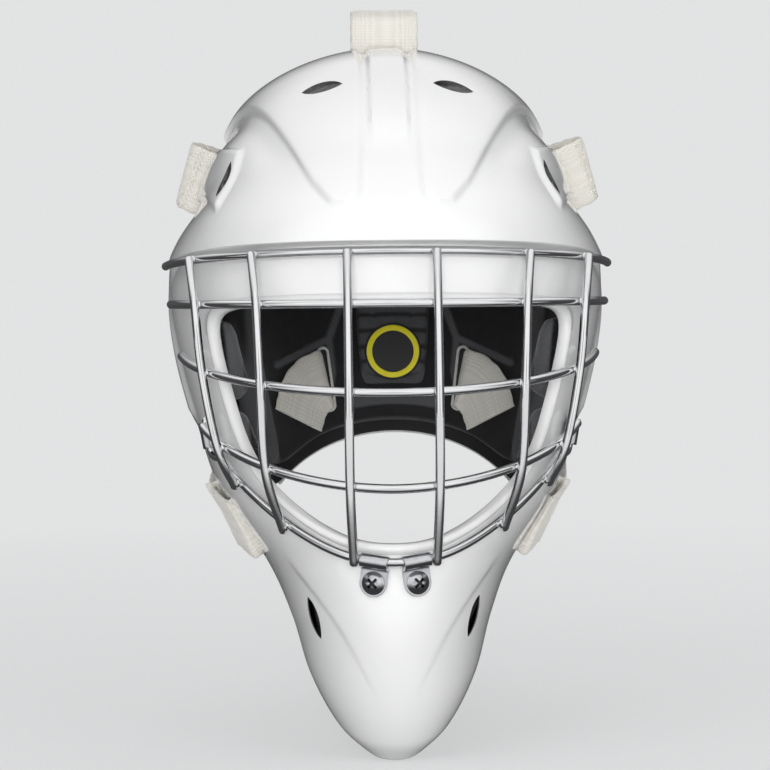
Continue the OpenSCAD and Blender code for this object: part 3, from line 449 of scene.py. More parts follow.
class Finish(Nodes):
    """A material with its shader's own values set, and short ways to add patterns to it."""

    def __init__(self, name, colour, **values):
        self.made = bpy.data.materials.new(name)
        self.made.use_nodes = True
        super().__init__(self.made.node_tree)
        self.shader = self.tree.nodes["Principled BSDF"]
        self.shader.inputs["Base Color"].default_value = (*colour[:3], 1)
        for key, value in values.items():
            self.shader.inputs[key.replace("_", " ")].default_value = value
        self.normal = None

    def place(self, scale=(1, 1, 1), turn=(0, 0, 0), follow=False):
        """Object coordinates, or the piece's own UV map in metres where the pattern follows it."""
        if follow:
            source = self.node("ShaderNodeUVMap", uv_map="lie").outputs["UV"]
        else:
            source = self.node("ShaderNodeTexCoord").outputs["Object"]
        mapping = self.node("ShaderNodeMapping")
        mapping.inputs["Scale"].default_value = scale
        mapping.inputs["Rotation"].default_value = turn
        self.link(source, mapping.inputs["Vector"])
        return mapping.outputs["Vector"]

    def noise(self, scale, detail=3.0, where=None, **values):
        noise = self.node("ShaderNodeTexNoise", Scale=scale, Detail=detail, **values)
        self.link(where or self.place(), noise.inputs["Vector"])
        return noise.outputs["Fac"]

    def cells(self, scale, where=None, feature="F1"):
        cells = self.node("ShaderNodeTexVoronoi", Scale=scale, feature=feature)
        self.link(where or self.place(), cells.inputs["Vector"])
        return cells.outputs["Distance"]

    def bands(self, scale, where=None, direction="X", distortion=0.0):
        bands = self.node("ShaderNodeTexWave", Scale=scale, Distortion=distortion, bands_direction=direction)
        self.link(where or self.place(), bands.inputs["Vector"])
        return bands.outputs["Fac"]

    def tint(self, source, low, high):
        """Base colour from low to high as the source goes from 0 to 1."""
        mix = self.node("ShaderNodeMix", data_type="RGBA")
        last = self.shader.inputs["Base Color"].links
        self.link(source, mix.inputs["Factor"])
        if low is None and last:
            self.link(last[0].from_socket, mix.inputs[6])
        else:
            mix.inputs[6].default_value = (*(low or self.shader.inputs["Base Color"].default_value[:3])[:3], 1)
        mix.inputs[7].default_value = (*high[:3], 1)
        self.link(mix.outputs[2], self.shader.inputs["Base Color"])
        return self

    def rough(self, source, low, high):
        self.link(self.ranged(source, low, high), self.shader.inputs["Roughness"])
        return self

    def bump(self, source, strength, distance):
        bump = self.node("ShaderNodeBump", Strength=strength, Distance=distance)
        self.link(source, bump.inputs["Height"])
        if self.normal:
            self.link(self.normal, bump.inputs["Normal"])
        self.normal = bump.outputs["Normal"]
        self.link(self.normal, self.shader.inputs["Normal"])
        return self

    def mark(self, name):
        """A value kept on the piece's points, such as where a seam strip runs."""
        return self.node("ShaderNodeAttribute", attribute_name=name).outputs["Fac"]


def shade(colour, factor):
    return tuple(min(1.0, c * factor) for c in colour[:3])


def gloss_shell(name, colour):
    f = Finish(name, colour, Roughness=0.2, Coat_Weight=0.9, Coat_Roughness=0.05, Specular_IOR_Level=0.5)
    f.tint(f.noise(14.0, 2.0), shade(colour, 0.975), colour)
    f.rough(f.noise(60.0, 4.0), 0.15, 0.24)
    f.bump(f.noise(420.0, 1.0), 0.05, 0.0004)
    return f.bump(f.noise(55.0, 1.0), 0.10, 0.0010)


def inner_laminate(name, colour):
    """The shell's unpainted inside and the walls of its vents, slots and screw holes: a woven cloth in dark resin. In
    and through the holes, its darkness is also painted shade.
    """
    f = Finish(name, colour, Roughness=0.42, Coat_Weight=0.3, Coat_Roughness=0.25)
    weave = f.maths("MULTIPLY", f.bands(90.0, None, "X", 0.4), f.bands(90.0, None, "Z", 0.4))
    return f.tint(weave, shade(colour, 0.7), shade(colour, 1.6)).bump(weave, 0.25, 0.0004)


def polished_wire(name, colour):
    f = Finish(name, colour, Metallic=1.0, Roughness=0.1)
    f.tint(f.noise(90.0, 3.0), shade(colour, 0.88), colour)
    f.rough(f.noise(1400.0, 2.0), 0.03, 0.10)
    return f.bump(f.noise(700.0, 2.0), 0.06, 0.0003)


def plated_steel(name, colour, share=1.0):
    colour = shade(colour, share)
    f = Finish(name, colour, Metallic=1.0, Roughness=0.2)
    f.tint(f.noise(260.0, 3.0), shade(colour, 0.72), colour)
    f.rough(f.noise(3000.0, 2.0, f.place((1, 1, 0.08))), 0.08, 0.24)
    return f.bump(f.noise(1500.0, 2.0), 0.12, 0.0003)


def knit_foam(name, colour, loops=620.0):
    """Foam with a knitted face: fine loops, a soft nap and slow changes of shade."""
    f = Finish(name, colour, Roughness=0.85, Sheen_Weight=0.35, Sheen_Roughness=0.45, Specular_IOR_Level=0.25)
    f.tint(f.cells(loops), shade(colour, 1.55), shade(colour, 0.55))
    f.bump(f.cells(loops), 0.6, 0.0005)
    return f.bump(f.noise(45.0, 2.0), 0.25, 0.0016)


def striped_pad(name, colour, stripe):
    f = knit_foam(name, colour)
    return f.tint(f.mark("stripe"), None, stripe)


def knitted_elastic(name, colour):
    """Knitted elastic: ribs along the strap, and loops between them."""
    f = Finish(name, colour, Roughness=0.88, Sheen_Weight=0.3, Sheen_Roughness=0.5, Specular_IOR_Level=0.2)
    lie = f.place(follow=True)
    ribs = f.bands(155.0, lie, "Y")
    loops = f.bands(190.0, lie, "X", 1.2)
    f.tint(f.maths("MULTIPLY", ribs, loops), shade(colour, 0.90), shade(colour, 1.03))
    f.tint(f.ranged(f.noise(60.0, 4.0), 0.0, 0.30), None, shade(colour, 0.88))
    f.bump(ribs, 0.35, 0.0005)
    f.bump(f.noise(700.0, 2.0), 0.25, 0.0005)
    return f.bump(loops, 0.2, 0.0004)


def woven_band(name, colour):
    f = Finish(name, colour, Roughness=0.7, Sheen_Weight=0.2)
    lie = f.place(follow=True)
    weave = f.maths("MULTIPLY", f.bands(330.0, lie, "X"), f.bands(330.0, lie, "Y"))
    return f.tint(weave, shade(colour, 0.6), shade(colour, 2.2)).bump(weave, 0.7, 0.0005)


def moulded_plate(name, colour):
    f = Finish(name, colour, Roughness=0.45, Coat_Weight=0.15, Coat_Roughness=0.3)
    f.tint(f.noise(70.0, 3.0), shade(colour, 0.8), shade(colour, 1.3))
    f.rough(f.noise(300.0, 3.0), 0.38, 0.56)
    return f.bump(f.cells(1300.0), 0.25, 0.0003)


def moulded_foam(name, colour, seam):
    f = Finish(name, colour, Roughness=0.62, Sheen_Weight=0.2, Specular_IOR_Level=0.35)
    f.tint(f.noise(120.0, 4.0), shade(colour, 0.7), shade(colour, 1.4))
    f.tint(f.mark("seam"), None, seam)
    f.rough(f.noise(200.0, 3.0), 0.5, 0.72)
    return f.bump(f.cells(1500.0), 0.35, 0.0003)


def ribbed_panel(name, colour, ridge):
    f = Finish(name, colour, Roughness=0.7, Sheen_Weight=0.25)
    # Paler on the ridges and darker in the grooves: painted highlight and painted shade, by depth.
    f.tint(f.mark("rib"), shade(colour, 0.6), ridge)
    f.tint(f.ranged(f.noise(800.0, 2.0), 0.0, 0.5), None, shade(colour, 0.8))
    return f.bump(f.cells(1100.0), 0.4, 0.0003)


def badge_plastic(name, colour):
    f = Finish(name, colour, Roughness=0.4, Coat_Weight=0.2, Coat_Roughness=0.2)
    f.tint(f.noise(200.0, 3.0), shade(colour, 0.9), colour)
    return f.bump(f.noise(1200.0, 2.0), 0.12, 0.0002)


# Pale rims; the same finish paints the highlight along the plate's lower edge.
def slot_rim(name, colour):
    f = Finish(name, colour, Roughness=0.4)
    f.tint(f.noise(150.0, 3.0), shade(colour, 0.8), colour)
    return f.bump(f.noise(900.0, 2.0), 0.1, 0.0003)


def sewing_thread(name, colour):
    f = Finish(name, colour, Roughness=0.75, Sheen_Weight=0.3)
    return f.tint(f.noise(2500.0, 2.0), shade(colour, 0.75), colour)


# Each finish: what makes it, then the names of its colours and any other values
FINISHES = {
    "gloss_shell": (gloss_shell, "shell"), "inner_laminate": (inner_laminate, "laminate"),
    "polished_wire": (polished_wire, "wire"), "plated_steel": (plated_steel, "hardware"),
    # The recess finish is the hardware colour at a tenth: painted shade in the screws' cross recesses.
    "recess_steel": (plated_steel, "hardware", 0.1), "pad_knit": (knit_foam, "padding"),
    "sweatband_knit": (knit_foam, "sweatband", 480.0), "cup_knit": (knit_foam, "padding", 560.0),
    "side_pad_knit": (striped_pad, "padding", "stripe"), "knitted_elastic": (knitted_elastic, "elastic"),
    "woven_band": (woven_band, "webbing"), "moulded_plate": (moulded_plate, "plate"),
    "moulded_foam": (moulded_foam, "plate", "seam"), "ribbed_panel": (ribbed_panel, "panel", "rib"),
    "badge_black": (badge_plastic, "plate"), "badge_yellow": (badge_plastic, "ring"),
    "slot_rim": (slot_rim, "rim"), "sewing_thread": (sewing_thread, "elastic"),
}


def kept(name):
    """A finish by name, made once."""
    found = bpy.data.materials.get(name)
    if found:
        return found
    look = bpy.context.scene.mask_colours
    maker, *values = FINISHES[name]
    return maker(name, *(getattr(look, v) if isinstance(v, str) else v for v in values)).made


def keep_node(node, finish):
    """Gives a solid that stays as it is its finish."""
    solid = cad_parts[node]
    solid.data.materials.clear()
    solid.data.materials.append(kept(finish))


# Sizes and colours
def colour(name, value, about):
    return bpy.props.FloatVectorProperty(name=name, description=about, subtype="COLOR", size=3, min=0, max=1,
                                         default=value)


def length(name, value, about):
    return bpy.props.FloatProperty(name=name, description=about, default=value, min=0, unit="LENGTH", precision=4)


class MaskShellSizes(bpy.types.PropertyGroup):
    """Sizes of the shell"""
    brow_overhang: length("Brow overhang", 0.011, "How far the brow shelf stands out at the centre")
    temple_overhang: length("Temple overhang", 0.0045, "How far the brow shelf stands out at the temples")
    lip_height: length("Lip height", 0.0016, "Height of the rolled lip round the face opening")
    panel_height: length("Panel height", 0.0025, "Height of the raised panels and the ridge on the forehead")
    channel_depth: length("Channel depth", 0.002, "Depth of the channels beside the raised panels")
    boss_height: length("Boss height", 0.002, "Height of the bosses round the upper strap slots")
    vent_flare: length("Vent flare", 0.0006, "How far a vent's outer edge is rounded back")


class MaskCageSizes(bpy.types.PropertyGroup):
    """Sizes of the cage and its clips"""
    wire: length("Wire", 0.0042, "Diameter of the steel wire")
    weld: length("Weld bead", 0.0017, "Half length of a weld bead where two wires cross")
    clip_width: length("Clip width", 0.0127, "Width of a clip")
    clip_gauge: length("Clip gauge", 0.0012, "Thickness of a clip's steel")
    head: length("Screw head", 0.0106, "Diameter of a screw's head")


class MaskSoftSizes(bpy.types.PropertyGroup):
    """Sizes of the padding and the straps"""
    brow_pad: length("Brow pad", 0.013, "Thickness of the forehead and crown pads")
    cheek_pad: length("Cheek pad", 0.020, "Thickness of the cheek pads")
    side_pad: length("Side pad", 0.012, "Thickness of the temple and jaw pads")
    sweatband: length("Sweatband", 0.008, "Thickness of the sweatband")
    swell: length("Swell", 0.0018, "How far a pad's face may swell")
    liner: length("Liner", 0.012, "Thickness of the back plate's liner")
    strap_width: length("Strap width", 0.034, "Width of the elastic")
    strap_thickness: length("Strap thickness", 0.0022, "Thickness of the elastic")


class MaskColours(bpy.types.PropertyGroup):
    """Colours of the mask"""
    shell: colour("Shell", (0.86, 0.86, 0.855), "Coated white laminate")
    # The dark inside colour also paints the shade in and through the shell's holes.
    laminate: colour("Inner laminate", (0.035, 0.035, 0.037), "The shell's inside")
    wire: colour("Wire", (0.74, 0.745, 0.755), "Polished steel")
    hardware: colour("Hardware", (0.60, 0.61, 0.63), "Plated clips and screws")
    padding: colour("Padding", (0.018, 0.018, 0.020), "Knit-faced foam")
    stripe: colour("Pad stripe", (0.15, 0.152, 0.158), "The paler stripe down a side pad")
    sweatband: colour("Sweatband", (0.10, 0.10, 0.105), "Soft knit")
    webbing: colour("Webbing", (0.02, 0.02, 0.022), "Woven sling straps")
    plate: colour("Back plate", (0.016, 0.016, 0.018), "Moulded plate and its liner")
    seam: colour("Seam strips", (0.095, 0.097, 0.103), "Raised strips on the liner")
    panel: colour("Centre panel", (0.045, 0.046, 0.050), "Ribbed panel on the liner")
    # Painted highlight on the centre panel's ridges.
    rib: colour("Ribs", (0.105, 0.108, 0.114), "Ribs of the centre panel")
    ring: colour("Badge ring", (1.0, 0.90, 0.004), "The badge's plain ring")
    # The pale rim colour also paints the highlight along the plate's lower edge.
    rim: colour("Slot rims", (0.72, 0.72, 0.70), "Pale rims round the liner's slots")
    elastic: colour("Elastic", (0.84, 0.81, 0.745), "Knitted straps")


# The studio
SENSOR = 36
# The camera's focal length and the photograph's width, in pixels
FOCAL_PIXELS, PHOTO_PIXELS = 1730, 770
BACKDROP = (0.76, 0.765, 0.77, 1)
# Each lamp: name, place, size and watts
LAMPS = (("key", (-0.85, -1.15, 1.10), 1.4, 5.2), ("fill", (1.15, -1.05, 0.55), 1.2, 3.6),
         ("front", (-0.02, -1.50, 0.06), 0.5, 9.5), ("top", (0.05, 0.10, 1.40), 1.4, 2.6),
         ("rear", (0.5, 1.30, 0.75), 1.0, 4.0))


class MASK_OT_studio(bpy.types.Operator):
    """Sets the camera, the pale floor and the soft lights"""
    bl_idname = "mask.studio"
    bl_label = "Studio"

    def execute(self, context):
        scene = context.scene
        scene.view_settings.view_transform = "Standard"
        lens = bpy.data.cameras.new("camera")
        lens.lens = SENSOR * FOCAL_PIXELS / PHOTO_PIXELS
        lens.sensor_width = SENSOR
        eye = bpy.data.objects.new("camera", lens)
        scene.collection.objects.link(eye)
        at, aim = Vector((-0.021, -0.900, 0.0)), Vector((-0.001, 0.0, 0.0))
        turn = (aim - at).to_track_quat("-Z", "Y").to_matrix().to_4x4()
        eye.matrix_world = Matrix.Translation(at) @ turn @ Matrix.Rotation(math.radians(-0.6), 4, "Z")
        scene.camera = eye
        self.add_world(scene)
        self.add_floor()
        for lamp in LAMPS:
            self.add_lamp(*lamp)
        return {"FINISHED"}

    def add_world(self, scene):
        """An even pale sky. In reflections it is bright in front and above, and dark at the sides."""
        world = bpy.data.worlds.new("studio")
        world.use_nodes = True
        scene.world = world
        sky = Nodes(world.node_tree)
        plain = sky.tree.nodes["Background"]
        plain.inputs["Color"].default_value = (0.94, 0.95, 0.96, 1)
        plain.inputs["Strength"].default_value = 0.36
        split = sky.node("ShaderNodeSeparateXYZ")
        sky.link(sky.node("ShaderNodeTexCoord").outputs["Generated"], split.inputs["Vector"])
        front = sky.maths("MULTIPLY", sky.ranged(split.outputs["Y"], 0.0, 1.0, -0.35, -0.70),
                          sky.ranged(split.outputs["Y"], 1.0, 0.35, -0.97, -0.995))
        ramp = sky.node("ShaderNodeValToRGB")
        ramp.color_ramp.elements[0].color = (0.07, 0.07, 0.075, 1)
        ramp.color_ramp.elements[1].color = (0.98, 0.98, 0.98, 1)
        sky.link(sky.maths("MAXIMUM", front, sky.ranged(split.outputs["Z"], 0.0, 0.9, 0.30, 0.70)),
                 ramp.inputs["Fac"])
        mirrored = sky.node("ShaderNodeBackground", Strength=1.25)
        sky.link(ramp.outputs["Color"], mirrored.inputs["Color"])
        backdrop = sky.node("ShaderNodeBackground", Color=BACKDROP)
        ray = sky.node("ShaderNodeLightPath").outputs
        unseen = sky.mixed(ray["Is Glossy Ray"], plain.outputs[0], mirrored.outputs[0])
        seen = sky.mixed(ray["Is Camera Ray"], unseen, backdrop.outputs[0])
        sky.link(seen, sky.tree.nodes["World Output"].inputs["Surface"])

    def add_floor(self):
        bm = bmesh.new()
        bmesh.ops.create_circle(bm, cap_ends=True, segments=96, radius=7.0)
        bmesh.ops.translate(bm, verts=bm.verts, vec=(0, 0, CAD_BOX[0][2] - 0.0008))
        floor = piece_from("floor", bm)
        paint = Finish("pale_floor", (0.80, 0.805, 0.81), Roughness=0.9, Specular_IOR_Level=0.1)
        paint.tint(paint.noise(3.0), (0.86, 0.865, 0.87), (0.90, 0.905, 0.91))
        self.fade_to_backdrop(paint)
        floor.data.materials.append(paint.made)

    def fade_to_backdrop(self, paint):
        """Far away the camera sees the floor in the backdrop's colour, and steel sees it bright only in front."""
        far = paint.node("ShaderNodeVectorMath", operation="LENGTH")
        paint.link(paint.place((1, 1, 0)), far.inputs[0])
        ray = paint.node("ShaderNodeLightPath").outputs
        share = paint.maths("MULTIPLY", ray["Is Camera Ray"], paint.ranged(far.outputs["Value"], 0.62, 1.0, 0.1, 1.3))
        plain = paint.node("ShaderNodeEmission", Color=BACKDROP)
        split = paint.node("ShaderNodeSeparateXYZ")
        paint.link(paint.place(), split.inputs[0])
        dark = paint.node("ShaderNodeEmission", Color=(0.97, 0.97, 0.98, 1))
        paint.link(paint.ranged(split.outputs["Y"], 0.07, 1.0, -0.22, -0.45), dark.inputs["Strength"])
        surface = paint.mixed(share, paint.shader.outputs[0], plain.outputs[0])
        surface = paint.mixed(ray["Is Glossy Ray"], surface, dark.outputs[0])
        paint.link(surface, paint.tree.nodes["Material Output"].inputs["Surface"])

    def add_lamp(self, name, at, size, watts):
        light = bpy.data.lights.new(name, "AREA")
        light.shape = "DISK"
        light.size = size
        light.energy = watts
        lamp = bpy.data.objects.new(name, light)
        bpy.context.scene.collection.objects.link(lamp)
        lamp.visible_glossy = False
        lamp.location = at
        lamp.rotation_euler = (-Vector(at)).to_track_quat("-Z", "Y").to_euler()


# The shell
def add_hole(bm, place, outline, layers, count=64):
    """A closed cutter whose outline grows from layer to layer. place is where it stands."""
    turn = bm.verts.layers.float.get("turn") or bm.verts.layers.float.new("turn")
    ring = bmesh.ops.create_circle(bm, cap_ends=True, segments=count, radius=1.0)["verts"]
    made = list(ring)
    face = ring[0].link_faces[0]
    for v in ring:
        v[turn] = math.atan2(v.co.y, v.co.x)
    for k, (height, grow) in enumerate(layers):
        if k:
            geom = bmesh.ops.extrude_face_region(bm, geom=[face])["geom"]
            face = next(g for g in geom if isinstance(g, bmesh.types.BMFace))
            ring = [g for g in geom if isinstance(g, bmesh.types.BMVert)]
            made += ring
        for v in ring:
            x, y = outline(v[turn], grow)
            v.co = (x * MM, y * MM, height * MM)
    bmesh.ops.transform(bm, matrix=place, verts=made)
    return made


def lens_outline(length_mm, width_mm):
    def outline(turn, grow):
        half, wide = length_mm / 2 + grow, width_mm + 2 * grow
        r = (half**2 + (wide / 2) ** 2) / wide
        x = half * math.cos(turn)
        return x, math.copysign(max(math.sqrt(r * r - x * x) - (r - wide / 2), 0), math.sin(turn))
    return outline


def slot_outline(length_mm, width_mm):
    def outline(turn, grow):
        r = width_mm / 2 + grow
        return (math.copysign((length_mm - width_mm) / 2, math.cos(turn)) + r * math.cos(turn), r * math.sin(turn))
    return outline


def round_outline(radius):
    return lambda turn, grow: ((radius + grow) * math.cos(turn), (radius + grow) * math.sin(turn))


BIG_VENT, BROW_VENT, CHIN_VENT = lens_outline(21, 9), lens_outline(20, 7), lens_outline(20, 9)
STRAP_SLOT = slot_outline(36.6, 4.8)
SCREW_HOLE = round_outline(3.1)
UPPER_SLOT, UPPER_DIR = (0.925, 0.832), np.array([-0.35, -0.24, 0.91])
LOWER_SLOT, LOWER_DIR = (0.895, 0.321), np.array([0.42, -0.32, 0.85])
CROWN_SLOT, CROWN_DIR = (0.0, 0.962), np.array([-1.0, 0, 0])
CHIN_SCREW, SIDE_SCREW = (0.1065, 0.268), (0.768, 0.428)


class MASK_OT_shell(bpy.types.Operator):
    """Makes the shell with its lip, brow shelf, raised panels, vents and strap slots"""
    bl_idname = "mask.shell"
    bl_label = "Shell"

    def rings(self):
        """Places across the wall: contour, share of the lip, depth in walls, and the side they are on."""
        lip = [(c, math.sin(math.pi * c), 0.5 * (1 - math.sqrt(1 - (1 - min(c / 0.15, 1)) ** 2)), True)
               for c in (0, 0.02, 0.05, 0.09, 0.15, 0.22, 0.32, 0.44, 0.56, 0.68, 0.80, 0.90, 1.0)]
        step = (1.981, 1.99, 2.0, 2.0015, 2.003, 2.0045, 2.0056, 2.009, 2.015, 2.022)
        front = [(c, 0, 0, True) for c in (*np.linspace(1.05, 1.96, 21), *step, *np.linspace(2.033, 2.985, 84))]
        rim = [(2.994, 0, 0.04, True), (3, 0, 0.16, True), (3, 0, 0.36, True), (3, 0, 0.64, False),
               (3, 0, 0.84, False), (2.994, 0, 0.96, False)]
        back = [(c, 0, 1, False) for c in (2.98, 2.9, 2.8, 2.7, 2.6, 2.5, 2.4, 2.3, 2.22, 2.15, 2.1, 2.06, 2.04,
                                           2.03, 2.024, 2.018, 2.008, 1.9, 1.7, 1.5, 1.3, 1.1, 0.8, 0.5, 0.2)]
        return lip + front + rim + back + [(0.06, 0, 0.93, False), (0.015, 0, 0.76, False)]

    def wall(self, look):
        top, side, low = 260, 80, 100
        run = lambda n: 1 - 2 * np.arange(n) / n
        x = np.concatenate([run(top), -np.ones(side), -run(low), np.ones(side)])
        y = np.concatenate([np.ones(top), run(side), -np.ones(low), -run(side)])
        rings = self.rings()
        rows = []
        for c, share, depth, is_outside in rings:
            a, s = between(c, x, y)
            rows.append(outside(a, s, share * look.lip_height / MM - depth * WALL) if is_outside
                        else inside(a, s, depth * WALL))
        table = np.stack(rows)
        nt, nr = len(x), len(rows)
        place = lambda u, v: table[np.rint(v * nr).astype(int) % nr, np.rint(u * nt).astype(int) % nt]
        bm = shaped_grid(nt, nr, place)
        # The inside faces take the dark inner laminate, which also paints the shade seen through the vents.
        deep = [depth >= 0.93 for _, _, depth, _ in rings]
        for k, face in enumerate(bm.faces):
            face.material_index = int(deep[k // nt] and deep[(k // nt + 1) % nr])
        return close_up(bm)

    def cutters(self, look):
        bm = bmesh.new()
        vent = look.vent_flare / MM
        for at, way, outline, flare in (
                ((0.214, 0.838), along_a(SHELL, 0.214, 0.838), BIG_VENT, vent),
                ((0.555, 0.735), along_s(SHELL, 0.555, 0.735), BROW_VENT, vent),
                ((0.60, 0.212), along_s(SHELL, 0.60, 0.212), CHIN_VENT, vent),
                (UPPER_SLOT, UPPER_DIR, STRAP_SLOT, 0.5), (LOWER_SLOT, LOWER_DIR, STRAP_SLOT, 0.5),
                (CROWN_SLOT, CROWN_DIR, STRAP_SLOT, 0.5), (CHIN_SCREW, (1, 0, 0), SCREW_HOLE, 0.05),
                (SIDE_SCREW, (0, 0, 1), SCREW_HOLE, 0.05)):
            self.add_holes(bm, at, way, outline, flare)
        # The hole walls take the dark inner laminate: painted shade in the vents, slots and screw holes.
        for face in bm.faces:
            face.material_index = 1
        return bm

    def add_holes(self, bm, at, x, outline, flare):
        """A hole on each side of the mask, or one hole on its middle."""
        a, s = at
        top = float(overhang(np.array(a), s, SHELF_S) + relief(np.array(a), s))
        place = stand(arch_point(SHELL, a, s), outward(SHELL, a, s), x)
        layers = [(-12, 0), (top - 2.2 * flare, 0), (top - 1.0 * flare, 0.32 * flare), (top + 0.1, flare),
                  (top + 9, flare + 0.3)]
        for side in (1, -1) if a else (1,):
            add_hole(bm, Matrix.Diagonal((side, 1, 1, 1)) @ place, outline, layers)

    def execute(self, context):
        look = context.scene.mask_shell
        piece = piece_from("white_shell", self.wall(look))
        piece.data.materials.append(kept("gloss_shell"))
        piece.data.materials.append(kept("inner_laminate"))
        cut_away(piece, self.cutters(look))
        dress(piece, "mask", ["shell"], kept("gloss_shell"), crease=38)
        return {"FINISHED"}


# The cage: front y, front z, half width, depth, squareness, tilt, sweep
HOOPS = [("top_wire", "cage_top_wire", (-122, 60.5, 113, 112, 2.0, 0, 80)),
         ("brow_wire", "cage_brow_wire", (-130, 36.3, 110, 116, 2.15, 3, 78)),
         ("eye_wire", "cage_eye_wire", (-137, -3.5, 104.5, 116, 2.0, 12, 78)),
         ("mouth_wire", "cage_mouth_wire", (-136, -46, 97, 108, 1.85, 21.7, 70))]
UPRIGHTS = [(19.5, 19.5, 19.2, 18.8, 0.158), (62, 59.5, 57.5, 55.5, 0.425), (92, 88.5, 85, 78, 0.592)]
FRAME_GAP = 2.2
SEAT = 0.05


def hoop_point(h, angle):
    angle = np.radians(np.asarray(angle, float))
    e = 2 / h[4]
    back = h[3] * (1 - np.abs(np.cos(angle)) ** e)
    tilt = math.radians(h[5])
    x = h[2] * np.sign(np.sin(angle)) * np.abs(np.sin(angle)) ** e
    return np.stack([x, h[0] + back * math.cos(tilt), h[1] + back * math.sin(tilt)], -1)


def frame_point(a, wire_r, off=0.0):
    return outside(a, 0.291 + 0.107 * (np.abs(a) / 0.66) ** 2.1, FRAME_GAP + wire_r + off)


def chin_clip_frame(wire_r):
    """Where a chin clip stands: its screw's place, the way out, the way to the wire, and the wire's run and rise."""
    a, s = CHIN_SCREW
    n, p = outward(SHELL, a, s), outside(a, s, SEAT)
    start, end = frame_point(a - 0.055, wire_r), frame_point(a + 0.055, wire_r)
    wire = (start + end) / 4 + frame_point(a, wire_r) / 2
    d = unit(np.cross(n, end - start))
    return p, n, d, (wire - p) @ d, (wire - p) @ n


def side_clip_frame(wire_r):
    a, s = SIDE_SCREW
    n, p = outward(SHELL, a, s), outside(a, s, SEAT)
    wire = outside(0.712, 0.428, FRAME_GAP + wire_r)
    d = unit(wire - p - ((wire - p) @ n) * n)
    return p, n, d, (wire - p) @ d, (wire - p) @ n


class MASK_OT_cross_wires(bpy.types.Operator):
    """Makes the four cross wires and the frame wire of the cage"""
    bl_idname = "mask.cross_wires"
    bl_label = "Cross wires"

    def execute(self, context):
        r = context.scene.mask_cage.wire / MM / 2
        for name, node, h in HOOPS:
            wire = rods(name, [hoop_point(h, np.linspace(-h[6], h[6], 150))], r)
            dress(wire, "mask", [node], kept("polished_wire"))
        p, n, d, _, _ = side_clip_frame(r)
        up = np.cross(d, n)
        wire = outside(0.712, 0.428, FRAME_GAP + r)
        corner = wire - 1.12 * 9 * up
        share = 1 - (1 - np.arange(19) / 18) ** 1.7
        half = frame_point(0.668 * share, r)
        bend = [corner + unit(half[-1] - corner) * 3, corner + up * 1.8, wire - up * 3, wire + 9 * up]
        right = smooth_through(np.vstack([half, bend]), 5)
        left = right[:0:-1] * [-1, 1, 1]
        frame_wire = rods("frame_wire", [np.vstack([left, right])], r)
        dress(frame_wire, "mask", ["cage_frame_wire"], kept("polished_wire"))
        return {"FINISHED"}


class MASK_OT_uprights(bpy.types.Operator):
    """Makes the six uprights with their weld beads"""
    bl_idname = "mask.uprights"
    bl_label = "Uprights"

    def execute(self, context):
        cage = context.scene.mask_cage
        r, depth = cage.wire / MM / 2, 0.3
        lines, beads = [], []
        for places in UPRIGHTS:
            crossings = []
            for (_, _, h), x in zip(HOOPS, places):
                angle = math.degrees(math.asin((x / h[2]) ** (h[4] / 2)))
                along = unit(hoop_point(h, angle + 0.5) - hoop_point(h, angle - 0.5))
                tilt = math.radians(h[5])
                out = unit(np.cross(along, [0, -math.sin(tilt), math.cos(tilt)]))
                crossings.append(hoop_point(h, angle) + out * (2 * r - depth))
                beads.append((hoop_point(h, angle) + out * (r - depth / 2), out, along))
            a = places[4]
            crossings.append(frame_point(a, r, 2 * r - depth))
            low, high = frame_point(a, r), crossings[-1]
            along = unit(frame_point(a + 0.01, r) - frame_point(a - 0.01, r))
            beads.append(((low + high) / 2, unit(high - low), along))
            line = smooth_through(crossings, 12)
            start = line[0] + unit(line[0] - line[1]) * 1.6
            end = line[-1] + unit(line[-1] - line[-2]) * (r + 1.6)
            lines.append(np.vstack([start[None], line, end[None]]))
        lines += [line * [-1, 1, 1] for line in lines]
        wires = rods("uprights", lines, r)
        with reshaped(wires) as bm:
            self.add_beads(bm, beads, cage.weld / MM)
        dress(wires, "mask", ["cage_uprights"], kept("polished_wire"))
        return {"FINISHED"}

    def add_beads(self, bm, beads, half):
        for at, out, along in beads:
            for side in (1, -1):
                place = Matrix.Diagonal((side, 1, 1, 1)) @ stand(at, out, along)
                ball = bmesh.ops.create_uvsphere(bm, u_segments=16, v_segments=10, radius=1.0)["verts"]
                bmesh.ops.scale(bm, vec=(half * 1.25 * MM, half * 1.15 * MM, 0.95 * MM), verts=ball)
                for v in ball:
                    wobble = 1 + 0.08 * math.sin(3 * math.atan2(v.co.y, v.co.x) + at[0])
                    v.co.x *= wobble
                bmesh.ops.transform(bm, matrix=place, verts=ball)
        bmesh.ops.recalc_face_normals(bm, faces=bm.faces)


